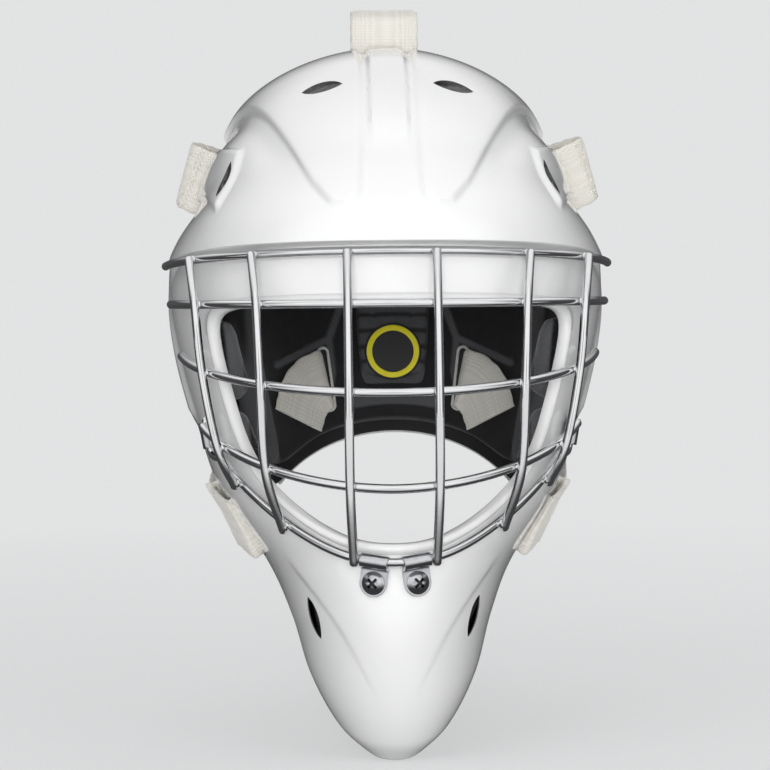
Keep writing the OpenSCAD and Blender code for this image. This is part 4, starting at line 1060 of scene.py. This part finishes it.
class MASK_OT_clips(bpy.types.Operator):
    """Makes the bent steel clips that hold the frame wire"""
    bl_idname = "mask.clips"
    bl_label = "Clips"

    def clip(self, cage, run, rise):
        gauge, wide, wire_r = cage.clip_gauge / MM, cage.clip_width / MM, cage.wire / MM / 2
        hook = wire_r + 0.55 + gauge / 2
        foot = np.array([cage.head / MM / 2 + 0.5, gauge / 2])
        to_foot = foot - [run, rise]
        start = (math.degrees(math.atan2(to_foot[1], to_foot[0])) + 360
                 - math.degrees(math.acos(hook / np.linalg.norm(to_foot))))
        turn = np.radians(np.linspace(start, -35, 34))
        arc = np.stack([run + hook * np.cos(turn), rise + hook * np.sin(turn)], -1)
        tab = np.array([[y, gauge / 2] for y in wide / 2 * -np.cos(np.linspace(0, math.pi / 2, 14))])
        path = np.vstack([tab, [[foot[0] - 1.0, gauge / 2]], foot[None] + [0.15, 0.05], arc])
        n = len(path) - 1

        def place(u, v):
            p = path[np.rint(u * n).astype(int)]
            half = np.where(p[:, 0] < 0, np.sqrt(np.maximum((wide / 2) ** 2 - p[:, 0] ** 2, 0)), wide / 2)
            half = np.where(u > 0.5, wide / 2, half)
            return np.stack([(v - 0.5) * 2 * half, p[:, 0], p[:, 1]], -1)

        bm = shaped_grid(n, 10, place)
        bmesh.ops.remove_doubles(bm, verts=bm.verts, dist=2e-6)
        bmesh.ops.recalc_face_normals(bm, faces=bm.faces)
        bmesh.ops.solidify(bm, geom=bm.faces, thickness=gauge * MM)
        lowest = min(v.co.z for v in bm.verts)
        bmesh.ops.translate(bm, verts=bm.verts, vec=(0, 0, -lowest))
        bmesh.ops.recalc_face_normals(bm, faces=bm.faces)
        sharp = [e for e in bm.edges if len(e.link_faces) == 2 and e.calc_face_angle(0) > 0.9]
        bmesh.ops.bevel(bm, geom=sharp, offset=0.22 * MM, offset_type="OFFSET", segments=2, profile=0.5,
                        affect="EDGES", material=-1, clamp_overlap=True)
        return bm

    def execute(self, context):
        cage = context.scene.mask_cage
        for name, node, where in (("chin_clip_pair", "chin_clips", chin_clip_frame),
                                  ("side_clip_pair", "side_clips", side_clip_frame)):
            p, n, d, run, rise = where(cage.wire / MM / 2)
            bm = self.clip(cage, run, rise)
            bmesh.ops.transform(bm, matrix=stand(p, n, np.cross(d, n)), verts=bm.verts)
            piece = piece_from(name, mirrored_pair(bm))
            dress(piece, "mask", [node], kept("plated_steel"), crease=50)
        return {"FINISHED"}


class MASK_OT_screws(bpy.types.Operator):
    """Makes the clip screws, and gives the nuts, studs and sockets their finish"""
    bl_idname = "mask.screws"
    bl_label = "Screws and nuts"

    def screw(self, name, cage):
        r, tall, gauge = cage.head / MM / 2, 2.4, cage.clip_gauge / MM
        seat = gauge + 0.02
        dome_r = (r**2 + tall**2) / (2 * tall)
        half = math.asin(r / dome_r)
        dome = [(dome_r * math.sin(half * k / 12), seat + tall - dome_r + dome_r * math.cos(half * k / 12))
                for k in range(13)]
        dome[-1] = (r - 0.08, seat + 0.22)
        profile = dome + [(r, seat + 0.08), (r - 0.1, seat), (2.0, seat), (2.0, -6.6), (1.6, -7.2), (0, -7.2)]
        piece = piece_from(name, spun(profile))
        for finish in ("plated_steel", "recess_steel"):
            piece.data.materials.append(kept(finish))
        bm = bmesh.new()
        for turn in (38, 128):
            bar = bmesh.ops.create_cube(bm, size=1.0)["verts"]
            for v in bar:
                deep = v.co.z < 0
                v.co = (v.co.x * r * (0.75 if deep else 1.35) * MM, v.co.y * (1.0 if deep else 1.5) * MM,
                        (seat + tall + (-1.7 if deep else 0.5)) * MM)
            bmesh.ops.rotate(bm, verts=bar, cent=(0, 0, 0), matrix=Matrix.Rotation(math.radians(turn), 3, "Z"))
        # The cross recess takes the darkened steel: painted shade in the recess.
        for face in bm.faces:
            face.material_index = 1
        return cut_away(piece, bm, overlapping=True)

    def execute(self, context):
        cage = context.scene.mask_cage
        for name, node, where in (("chin_screws", "chin_clip_screws", chin_clip_frame),
                                  ("side_screws", "side_clip_screws", side_clip_frame)):
            p, n, d, _, _ = where(cage.wire / MM / 2)
            piece = self.screw(name, cage)
            with reshaped(piece) as bm:
                bmesh.ops.transform(bm, matrix=stand(p, n, np.cross(d, n)), verts=bm.verts)
                mirrored_pair(bm)
            dress(piece, "mask", [node], kept("plated_steel"), crease=32)
        for node in ("chin_clip_nuts", "side_clip_nuts", "chin_studs", "chin_sockets"):
            keep_node(node, "plated_steel")
        return {"FINISHED"}


# The padding
def face_edge(s):
    """Where the face opening's edge lies at a place up the shell."""
    half, up, down, m_up, m_down = CONTOURS[0]
    above = s >= FACE_S
    far = np.abs(s - FACE_S) / np.where(above, up, down)
    m = np.where(above, m_up, m_down)
    return half * np.maximum(0, 1 - far**m) ** (1 / m)


def puff(u, v):
    return np.maximum(0, (1 - np.abs(2 * u - 1) ** 5) * (1 - np.abs(2 * v - 1) ** 5)) ** 0.4


def values_of(vertices, key="co"):
    """The places or normals of all vertices, one row each."""
    values = np.empty(len(vertices) * 3)
    vertices.foreach_get(key, values)
    return values.reshape(-1, 3)


SWELL_FRAMES = 20


def swell(piece, cap, away, voxel=2.6):
    """Lets a pad swell under pressure, each point by cap at most, and never towards what carries it.
    away(co) gives the way towards the carrier."""
    scene = bpy.context.scene
    grain = piece.modifiers.new("grain", "REMESH")
    grain.mode, grain.voxel_size, grain.use_smooth_shade = "VOXEL", voxel * MM, True
    settle(piece)
    before = values_of(piece.data.vertices)
    cloth = piece.modifiers.new("swell", "CLOTH")
    cloth.settings.use_pressure = True
    cloth.settings.uniform_pressure_force = 4
    cloth.settings.effector_weights.gravity = 0
    cloth.point_cache.frame_start, cloth.point_cache.frame_end = 1, SWELL_FRAMES
    for k in range(1, SWELL_FRAMES + 1):
        scene.frame_set(k)
    settled = piece.evaluated_get(bpy.context.evaluated_depsgraph_get()).to_mesh()
    move = values_of(settled.vertices) - before
    piece.modifiers.clear()
    scene.frame_set(1)
    move *= np.minimum(1, cap / np.maximum(np.linalg.norm(move, axis=1, keepdims=True), 1e-9))
    way = away(before)
    towards = np.maximum((move * way).sum(1, keepdims=True), 0)
    piece.data.vertices.foreach_set("co", (before + move - towards * way).ravel())
    piece.data.update()
    smooth = piece.modifiers.new("soft", "SMOOTH")
    smooth.factor, smooth.iterations = 0.5, 3
    surface = piece.modifiers.new("surface", "SUBSURF")
    surface.levels = surface.render_levels = 1
    return settle(piece)


def from_head(co):
    return unit(co - np.stack([co[:, 0] * 0, co[:, 1] * 0 + 0.02, co[:, 2] * 0.55], -1))


def mark_points(piece, name, values):
    made = piece.data.attributes.new(name, "FLOAT", "POINT")
    made.data.foreach_set("value", np.asarray(values, float))


# How far the solid pads lie off the shell's wall, and what the dressed pads add to that
PAD_GAP, PAD_ROOM = 0.3, 0.7


class MASK_OT_pads(bpy.types.Operator):
    """Makes the forehead, crown, temple, cheek and jaw pads and the sweatband"""
    bl_idname = "mask.pads"
    bl_label = "Pads"

    def pad(self, start, end, thick, side=1, follow=False, nx=30, ny=22):
        seat = WALL + PAD_GAP + PAD_ROOM

        def grid(u, v):
            s = start[1] + (end[1] - start[1]) * v
            first = face_edge(s) + start[0] if follow else start[0]
            return first + (end[0] - first) * u, s

        def outer(u, v):
            a, s = grid(u, v)
            return inside(a, s, np.full(a.shape, seat)) * [side, 1, 1]

        def inner(u, v):
            a, s = grid(u, v)
            deep = seat + thick * (0.34 + 0.62 * puff(u, v))
            return (arch_point(SHELL, a, s) - outward(SHELL, a, s) * deep[..., None]) * [side, 1, 1]

        return slab_grid(nx, ny, outer, inner)

    def execute(self, context):
        soft = context.scene.mask_soft
        brow, cheek, flat = soft.brow_pad / MM, soft.cheek_pad / MM, soft.side_pad / MM
        band = soft.sweatband / MM
        plan = [("forehead_cushion", "forehead_pad", (-0.44, 0.650), (0.44, 0.79), brow, 1, False, 60, 22),
                ("brow_sweatband", "sweatband", (-0.46, 0.580), (0.46, 0.622), band, 1, False, 60, 12),
                ("crown_cushion", "crown_pad", (-0.46, 0.865), (0.46, 0.935), brow, 1, False, 50, 16)]
        for name, side in (("left", 1), ("right", -1)):
            plan += [(f"temple_cushion_{name}", f"temple_pad_{name}", (0.60, 0.652), (0.90, 0.775), flat, side,
                      False, 26, 26),
                     (f"cheek_cushion_{name}", f"cheek_pad_{name}", (0.10, 0.458), (0.95, 0.552), cheek, side,
                      True, 34, 24),
                     (f"jaw_cushion_{name}", f"jaw_pad_{name}", (0.08, 0.380), (0.88, 0.450), flat, side,
                      True, 34, 22)]
        for name, node, start, end, thick, side, follow, nx, ny in plan:
            piece = piece_from(name, self.pad(start, end, thick, side, follow, nx, ny))
            swell(piece, soft.swell, from_head)
            if "jaw" in name:
                self.nut_pocket(piece, side)
            if "cheek" in name or "jaw" in name:
                co = values_of(piece.data.vertices)
                middle = 0.0715 + 0.00012 * (co[:, 2] / MM + 22)
                near = 1 - ease((np.abs(np.abs(co[:, 0]) - middle) - 0.0028) / 0.0012)
                mark_points(piece, "stripe", near * ease((0.02 - co[:, 1]) / 0.05 + 0.6))
            finish = ("side_pad_knit" if "cheek" in name or "jaw" in name else
                      "sweatband_knit" if name == "brow_sweatband" else "pad_knit")
            dress(piece, "mask", [node], kept(finish), crease=60)
        return {"FINISHED"}

    def nut_pocket(self, piece, side):
        """Room in a jaw pad for the side clip's nut."""
        p, n, _, _, _ = side_clip_frame(2.1)
        bm = bmesh.new()
        bmesh.ops.create_cone(bm, cap_ends=True, segments=40, radius1=7 * MM, radius2=7 * MM, depth=24 * MM)
        place = Matrix.Diagonal((side, 1, 1, 1)) @ stand(p - n * 8, n, (0, 0, 1))
        bmesh.ops.transform(bm, matrix=place @ Matrix.Translation((0, 0, 12 * MM)), verts=bm.verts)
        cut_away(piece, bm)


# Straps: bands with rounded edges along a line of places and width directions
BAND_SIDES = 30


def band_section(width, thick):
    """Places round a band's section, in millimetres across and through it. Its edges are round."""
    t = np.linspace(0, 2 * np.pi, BAND_SIDES + 1)
    c, s = np.cos(t), np.sin(t)
    edge = 0.6
    run = np.sign(c) * np.abs(c) ** 0.55 * (width / 2 - thick / 2)
    nose = np.sign(c) * thick / 2 * np.sqrt(np.maximum(1 - (s / edge) ** 2, 0))
    return run + np.where(np.abs(s) < edge, nose, 0), thick / 2 * np.clip(s / edge, -1, 1)


def band(line, widths, width, thick, ripple=0.0):
    """A closed band. Its UV map runs along it and round it, in metres."""
    line, widths = np.asarray(line, float), unit(widths)
    n = len(line) - 1
    ahead = unit(np.vstack([line[1:2] - line[0:1], line[2:] - line[:-2], line[-1:] - line[-2:-1]]))
    w = unit(widths - (widths * ahead).sum(1, keepdims=True) * ahead)
    f = np.cross(w, ahead)
    reach = np.concatenate([[0], np.cumsum(np.linalg.norm(np.diff(line, axis=0), axis=1))])
    x, y = band_section(width, thick)

    def place(u, v):
        i, k = np.rint(u * n).astype(int), np.rint(v * BAND_SIDES).astype(int) % BAND_SIDES
        edge = 1 + ripple * np.sin(reach[i] * 0.9) * 0.012
        end = np.where((i == 0) | (i == n), 0.86, 1.0)
        return line[i] + w[i] * (x[k] * edge)[:, None] + f[i] * (y[k] * end)[:, None]

    grid = shaped_grid(n, BAND_SIDES, place, (reach[-1] * MM, 2 * width * MM))
    return close_up(grid, fill=True), w, f, reach


def near_slot(at, way, t, n, lean):
    """A strap's place t beyond a slot in the shell and n off its face, and the way across the strap."""
    out = outward(SHELL, *at)
    w = unit(way - (way @ out) * out)
    return arch_point(SHELL, *at) + np.cross(w, out) * t + out * n, w + out * lean


HALF_STRAP, STRAP_GAP = 1.1, 0.9
LIFT, LINER_FACE = HALF_STRAP + STRAP_GAP, -PLATE_WALL - LINER_GAP - 12.0
UPPER_PLATE, LOWER_PLATE, CROWN_PLATE = (0.30, 0.46), (0.355, 0.82), (0.0, 0.10)


def fold(at, way, height, lean, edge, sag):
    """A strap's end: from its lap over the shell's edge, through the slot and back out inside."""
    half, sunk = HALF_STRAP, WALL + HALF_STRAP + STRAP_GAP
    steps = [(edge + 13, half + 0.6, 0), (edge + 8, height * 0.42, lean), (edge + 1, height * 0.88, lean),
             (edge * 0.42, height, lean), (0.5, height * 0.8, lean), (-0.3, height * 0.45, 0), (0, 0, 0),
             (0, -WALL, 0), (3.5, -sunk - sag - 0.5, 0), (edge + 1, -sunk - sag, 0),
             (edge + 8, -WALL / 2 - 0.5, 0), (edge + 14, -half, 0)]
    return [near_slot(at, way, *step) for step in steps]


def near_plate(a, s, off, side):
    p = plate_point(side * a, s, off)
    return p * [side, 1, 1], -along_s(PLATE, a, s)


def through_plate(slot, outer, inner, side):
    """A strap's run along the plate, through its slot and the liner, and along the liner's face."""
    a, s = slot
    steps = ([(i, j, LIFT + k) for i, j, k in outer]
             + [(0.016, 0, LIFT), (0, 0, 0.2), (0, 0, -PLATE_WALL), (0, 0, LINER_FACE)]
             + [(i, j, LINER_FACE - LIFT - 2) for i, j in inner])
    return [near_plate(a + i, s + j, off, side) for i, j, off in steps]


def joined(first, second, parts):
    """Two runs and the straight gap between them, in so many parts."""
    (p0, w0), (p1, w1) = first[-1], second[0]
    gap = [(p0 + (p1 - p0) * k / parts, w0 + (w1 - w0) * k / parts) for k in range(1, parts)]
    return first + gap + second


def strap_line(name, side):
    if name == "upper":
        height = 14 + PLATE_SHIFT * (side + 1) / 3
        outer = [(0.60, -0.18, 2.2 - 0.1 * PLATE_SHIFT * side), (0.46, -0.13, 0), (0.30, -0.07, 0), (0.15, -0.03, 0)]
        if side > 0:
            outer.insert(0, (0.72, -0.215, 4.4 - 0.17 * PLATE_SHIFT))
        return joined(fold(UPPER_SLOT, UPPER_DIR, height, 0.13, 11, 1),
                      through_plate(UPPER_PLATE, outer, [(0.03, 0), (0.12, 0.01), (0.22, 0.02), (0.32, 0.03)],
                                    side), 2)
    if name == "lower":
        outer = [(0.66, 0.04, 2), (0.54, 0.05, 0.6), (0.40, 0.05, 0), (0.27, 0.042, 0), (0.13, 0.02, 0)]
        return joined(fold(LOWER_SLOT, LOWER_DIR, 3.5, -0.13, 26, 2.4),
                      through_plate(LOWER_PLATE, outer, [(0.03, 0), (0.10, 0.004), (0.19, 0.022), (0.28, 0.06)],
                                    side), 4)
    run = ([(plate_point(0.0, s, LIFT), CROWN_DIR) for s in (0.01, 0.05, 0.088)]
           + [(plate_point(*CROWN_PLATE, off), CROWN_DIR) for off in (0.2, -PLATE_WALL, LINER_FACE)]
           + [(plate_point(0.0, s, LINER_FACE - LIFT - 2), CROWN_DIR) for s in (0.112, 0.16, 0.22, 0.28)])
    return joined(fold(CROWN_SLOT, CROWN_DIR, 21, 0, 29, 2), run, 2)


# The last place of a fold, where a strap leaves the shell, and the places of the sewn rows along a strap
SEWN_ROWS = {"top": (15, 17.4, 19.8, 22.2), "upper": (10.5, 12.5, 30, 31.6), "lower": (14, 16)}


class MASK_OT_straps(bpy.types.Operator):
    """Makes the five elastic straps from the shell's edge through the back plate, and their sewing"""
    bl_idname = "mask.straps"
    bl_label = "Straps"

    def execute(self, context):
        soft = context.scene.mask_soft
        width, thick = soft.strap_width / MM, soft.strap_thickness / MM
        stitches = []
        for name, side in (("top", 0), ("upper", 1), ("upper", -1), ("lower", 1), ("lower", -1)):
            path = strap_line(name, side)
            mirror = np.array([side or 1, 1, 1])
            line = smooth_through([p * mirror for p, _ in path], 7)
            widths = smooth_through([w * mirror for _, w in path], 7)
            bm, w, f, reach = band(line, widths, width, thick, ripple=1.0)
            where = {1: "left", -1: "right", 0: ""}[side]
            node = "top_strap" if not side else f"{name}_strap_{where}"
            piece = piece_from(f"{name}_elastic_{where}".rstrip("_"), bm)
            dress(piece, None, [node], kept("knitted_elastic"), crease=70)
            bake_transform(piece)
            for at in SEWN_ROWS[name]:
                stitches += self.sewn(line, w, f, reach, at, width - 3, thick)
        thread = rods("strap_sewing", stitches, 0.28, round_ends=False, sides=1)
        dress(thread, "mask", [], kept("sewing_thread"), crease=0)
        return {"FINISHED"}

    def sewn(self, line, w, f, reach, at, width, thick):
        """One zigzag row across a strap, in short stitches on both faces."""
        i = int(np.searchsorted(reach, at))
        ahead = unit(line[min(i + 1, len(line) - 1)] - line[max(i - 1, 0)])
        places = np.linspace(-width / 2, width / 2, 23)
        return [np.array([line[i] + w[i] * p + ahead * (0.8 if k % 2 else -0.8) + f[i] * face * (thick / 2 + 0.08)
                          for k, p in enumerate(places)]) for face in (1, -1)]


# The chin sling
SLING_WIDTH, SLING_THICK = 19, 1.6


def round_corners(u, v, power):
    """Places from -1 to 1 across and along, with the square's corners rounded."""
    x, y = 2 * u - 1, 2 * v - 1
    far = np.maximum(np.maximum(np.abs(x), np.abs(y)), 1e-9)
    k = np.maximum(np.abs(x / far) ** power + np.abs(y / far) ** power, 1) ** (-1 / power)
    return x * k, y * k


class MASK_OT_chin_sling(bpy.types.Operator):
    """Makes the chin cup and its two woven straps"""
    bl_idname = "mask.chin_sling"
    bl_label = "Chin sling"

    def execute(self, context):
        foot = inside(0.75, 0.302, 4.8)
        cup_y, cup_z = foot[1], foot[2] - 42

        def low(x, y):
            return np.stack([x * 33, cup_y + y * 19, cup_z + 13 * x**2 + 2.5 * y**2], -1)

        def high(u, v):
            x, y = round_corners(u, v, 5)
            lift = np.zeros(x.shape + (3,))
            lift[..., 2] = 7 * (0.42 + 0.52 * puff(u, v)) - 0.9 * np.exp(-(((np.abs(x) - 0.55) / 0.03) ** 2))
            return low(x, y) + lift

        cup = piece_from("chin_cushion", slab_grid(48, 28, high, lambda u, v: low(*round_corners(u, v, 5))))
        swell(cup, 0.0012, lambda co: np.tile([[0.0, 0.0, -1.0]], (len(co), 1)), voxel=1.8)
        dress(cup, "sling", ["chin_cup"], kept("cup_knit"), crease=60)

        half = SLING_THICK / 2
        x = foot[0] - 9 + 0.25 - 0.12 - half
        under = np.array([0, 0, -half - 0.5])
        edge = foot[2] - 6
        spot = lambda a: low(np.array(a), np.array(0.0))
        path = [(x, cup_y, foot[2] + 7), (x, cup_y, edge - 0.5), (x - 0.6, cup_y, edge - 3),
                spot(1.0) + [2.8, 0, 1], spot(0.8) + under, spot(0.55) + under]
        line = smooth_through(np.array([np.asarray(p, float) for p in path]), 12)
        bm, _, _, _ = band(line, np.tile([[0.0, 1.0, 0.0]], (len(line), 1)), SLING_WIDTH, SLING_THICK)
        straps = piece_from("sling_bands", bm)
        hole = bmesh.new()
        bmesh.ops.create_cone(hole, cap_ends=True, segments=40, radius1=4.3 * MM, radius2=4.3 * MM, depth=10 * MM)
        bmesh.ops.transform(hole, matrix=stand((x, cup_y, foot[2]), (1, 0, 0), (0, 1, 0)), verts=hole.verts)
        cut_away(straps, hole)
        with reshaped(straps) as bm:
            mirrored_pair(bm)
        dress(straps, "sling", ["chin_straps"], kept("woven_band"), crease=60)
        return {"FINISHED"}


# The back plate
def on_sheet(u, v, power):
    """Places on the plate, across from -1 to 1 and down from 0 to 1, with the corners rounded."""
    x, y = round_corners(u, v, power)
    return x, 0.5 + y / 2


def edge_share(u, v, across, along):
    """0 inside a sheet and 1 on its edge, with a rounded shoulder."""
    return 1 - np.maximum(0, (1 - np.abs(2 * u - 1) ** across) * (1 - np.abs(2 * v - 1) ** along)) ** 0.5


def seam_share(x, y, z):
    """How much of a seam strip lies at a place on the liner's face, in millimetres."""
    x = np.abs(x - PLATE_SHIFT)
    share = ease((y - 52) / 2) * ease((68 - y) / 2) * ease((x - 60) / 4)
    for line in (((27.5, 52), (32, 41), (37, 27), (66, 12)), ((37, 27), (35, 8), (38, -14))):
        for (x0, z0), (x1, z1) in zip(line, line[1:]):
            run = np.array([x1 - x0, z1 - z0], float)
            t = np.clip(((x - x0) * run[0] + (z - z0) * run[1]) / (run @ run), 0, 1)
            share = np.maximum(share, 1 - ease((np.hypot(x - x0 - run[0] * t, z - z0 - run[1] * t) - 1.5) / 1.0))
    low = -7.5 - (x / 26) ** 2 * 3
    belt = ease((z - low + 4) / 1.2) * ease((low + 4 - z) / 1.2) * ease((27 - x) / 1.5)
    return np.maximum(share, belt)


# Ribs of the centre panel, and sides of the round badge
RIBS, BADGE_STEPS = 6, 96


class MASK_OT_backplate(bpy.types.Operator):
    """Makes the back plate, its foam liner with seam strips and slot rims, the ribbed panel and the plain badge"""
    bl_idname = "mask.backplate"
    bl_label = "Back plate"

    def slot_places(self):
        for slot in (UPPER_PLATE, LOWER_PLATE):
            for side in (1, -1):
                a, s = side * slot[0], slot[1]
                yield slot, side, plate_point(a, s, 0.0), outward(PLATE, a, s), along_s(PLATE, a, s)
        yield CROWN_PLATE, 0, plate_point(*CROWN_PLATE, 0.0), outward(PLATE, *CROWN_PLATE), np.array([1.0, 0, 0])

    def cutters(self, layers):
        bm = bmesh.new()
        for _, _, p, n, x in self.slot_places():
            add_hole(bm, stand(p, n, x), STRAP_SLOT, layers, 48)
        return bm

    def execute(self, context):
        soft = context.scene.mask_soft
        liner = soft.liner / MM

        def inner(u, v):
            a, s = on_sheet(u, v, 8)
            return a * 0.96, 0.04 + 0.92 * s

        def plate_face(u, v):
            a, s = on_sheet(u, v, 9)
            groove = 0.9 * np.exp(-(((s - 0.36) / 0.012) ** 2)) + 0.9 * np.exp(-(((s - 0.70) / 0.012) ** 2))
            return plate_point(a, s, -groove * ease((0.9 - np.abs(a)) / 0.06))

        plate = piece_from("moulded_back", slab_grid(
            110, 110, plate_face, lambda u, v: plate_point(*on_sheet(u, v, 9), -PLATE_WALL)))
        add_bevel(plate, 0.7, 3, 50)
        cut_away(plate, self.cutters([(-22, 0), (-0.5, 0), (0.1, 0.5), (22, 0.7)]))
        dress(plate, "back", ["backplate"], kept("moulded_plate"), crease=40)

        def liner_face(u, v):
            a, s = inner(u, v)
            at = plate_point(a, s, -LINER_SEAT - liner)
            rim = 2.6 * edge_share(u, v, 26, 26)
            return plate_point(a, s, -LINER_SEAT - liner - 0.8 * seam_share(*np.moveaxis(at, -1, 0)) + rim)

        foam = piece_from("liner_cushion", slab_grid(
            190, 190, lambda u, v: plate_point(*inner(u, v), -LINER_SEAT), liner_face))
        add_bevel(foam, 1.4, 3, 50)
        co, facing = values_of(foam.data.vertices) / MM, values_of(foam.data.vertices, "normal")
        inwards = np.maximum(-facing[:, 1], -facing[:, 0] * np.sign(co[:, 0] - PLATE_SHIFT))
        mark_points(foam, "seam", seam_share(*co.T) * ease((inwards - 0.1) / 0.3))
        cut_away(foam, self.cutters([(-22, 0.2), (22, 0.2)]))
        dress(foam, "back", ["backplate_liner"], kept("moulded_foam"), crease=45)
        self.slot_rims(liner)
        self.panel_and_badge(context, liner)
        return {"FINISHED"}

    def slot_rims(self, liner):
        """Pale rims round the side slots, on the liner's face, and a pale rod along the plate's lower edge that
        paints a highlight there.
        """
        ring = [STRAP_SLOT(t, 0.75) for t in np.linspace(0, 2 * np.pi, 61)[:-1] + 0.001]
        loops = []
        for (a, s), side, p, n, x in self.slot_places():
            if not side:
                continue
            a *= side
            u = unit(x - (x @ n) * n)
            v = np.cross(n, u)
            here = plate_point(a, s, LINER_FACE)
            pace_a = along_a(PLATE, a, s) / np.linalg.norm(plate_point(a + 0.01, s, LINER_FACE) - here) * 0.01
            pace_s = along_s(PLATE, a, s) / np.linalg.norm(plate_point(a, s + 0.01, LINER_FACE) - here) * 0.01
            shape = [plate_point(a + q @ pace_a, s + q @ pace_s, -LINER_SEAT - liner - 0.35)
                     for q in (u * across + v * along for across, along in ring)]
            loops.append(np.array(shape + shape[:1]))
        rims = rods("slot_rims", loops, 0.85, round_ends=False, sides=3)
        dress(rims, "back", [], kept("slot_rim"), crease=60)
        # A pale rod along the plate's lower edge: a painted highlight.
        low = plate_point(np.linspace(-0.80, 0.80, 90), np.full(90, 0.998), -PLATE_WALL / 2)
        edge_highlight = rods("plate_trim", [low], 1.1, sides=3)
        dress(edge_highlight, "back", [], kept("slot_rim"), crease=60)

    def panel_and_badge(self, context, liner):
        front = plate_point(0.0, 0.70, -LINER_SEAT - liner)[1] - 5 - 0.6

        def seat(u, v):
            a, s = on_sheet(u, v, 10)
            return plate_point(0.150 * a, 0.60 + 0.25 * s, -(LINER_SEAT + liner + 1.0))

        def face(u, v):
            p = seat(u, v)
            groove = np.exp(-(((v * RIBS % 1) - 0.5) / 0.13) ** 2)
            p[..., 1] = front + groove + 1.6 * edge_share(u, v, 14, 30)
            return p

        panel = piece_from("rib_panel", slab_grid(40, 150, seat, face))
        depth = values_of(panel.data.vertices)[:, 1] / MM - front
        # 1 on the panel's face and 0 in the grooves, on the receding edges and on the back: painted highlight and
        # painted shade, by depth.
        mark_points(panel, "rib", 1 - ease(depth / 0.8))
        add_bevel(panel, 0.5, 2, 60)
        dress(panel, "back", ["backplate_centre_pad"], kept("ribbed_panel"), crease=60)
        start, tall, out, inn = front - 0.1, 1.2, 15.2, 12.0
        disc = piece_from("badge_back", spun([(0, 0), (16.1, 0), (16.5, 0.3), (16.5, 0.85), (16.1, tall), (0, tall)],
                                             BADGE_STEPS))
        ring = piece_from("badge_hoop", spun([(inn, 0), (out, 0), (out, 0.55), (out - 0.25, 0.8), (inn + 0.25, 0.8),
                                              (inn, 0.55), (inn, 0)], BADGE_STEPS))
        for piece, node, at, slot, finish in (
                (disc, "badge_disc", start, "badge", "badge_black"),
                (ring, "badge_ring", start - tall - 0.02, "badge_ring", "badge_yellow")):
            piece.data.transform(stand((PLATE_SHIFT, at, 19.5), (0, -1, 0), (1, 0, 0)))
            dress(piece, "back", [node], kept(finish), crease=35)


class MASK_PT_panel(bpy.types.Panel):
    """Sizes, colours and steps of the goalie mask"""
    bl_label = "Goalie mask"
    bl_idname = "MASK_PT_panel"
    bl_space_type = "VIEW_3D"
    bl_region_type = "UI"
    bl_category = "Goalie mask"

    def draw(self, context):
        for name in ("mask_shell", "mask_cage", "mask_soft", "mask_colours"):
            group = getattr(context.scene, name)
            box = self.layout.box()
            for key in group.__annotations__:
                box.prop(group, key)
        for step in STEPS:
            self.layout.operator(step.bl_idname)


GROUPS = {"mask_shell": MaskShellSizes, "mask_cage": MaskCageSizes, "mask_soft": MaskSoftSizes,
          "mask_colours": MaskColours}
STEPS = (MASK_OT_studio, MASK_OT_shell, MASK_OT_cross_wires, MASK_OT_uprights, MASK_OT_clips, MASK_OT_screws,
         MASK_OT_pads, MASK_OT_chin_sling, MASK_OT_backplate, MASK_OT_straps)


def register():
    for kind in (*GROUPS.values(), *STEPS, MASK_PT_panel):
        bpy.utils.register_class(kind)
    for name, group in GROUPS.items():
        setattr(bpy.types.Scene, name, bpy.props.PointerProperty(type=group))


def unregister():
    for name in GROUPS:
        delattr(bpy.types.Scene, name)
    for kind in reversed((*GROUPS.values(), *STEPS, MASK_PT_panel)):
        bpy.utils.unregister_class(kind)


def main():
    register()
    for step in STEPS:
        group, name = step.bl_idname.split(".")
        getattr(getattr(bpy.ops, group), name)()


if __name__ == "__main__":
    main()
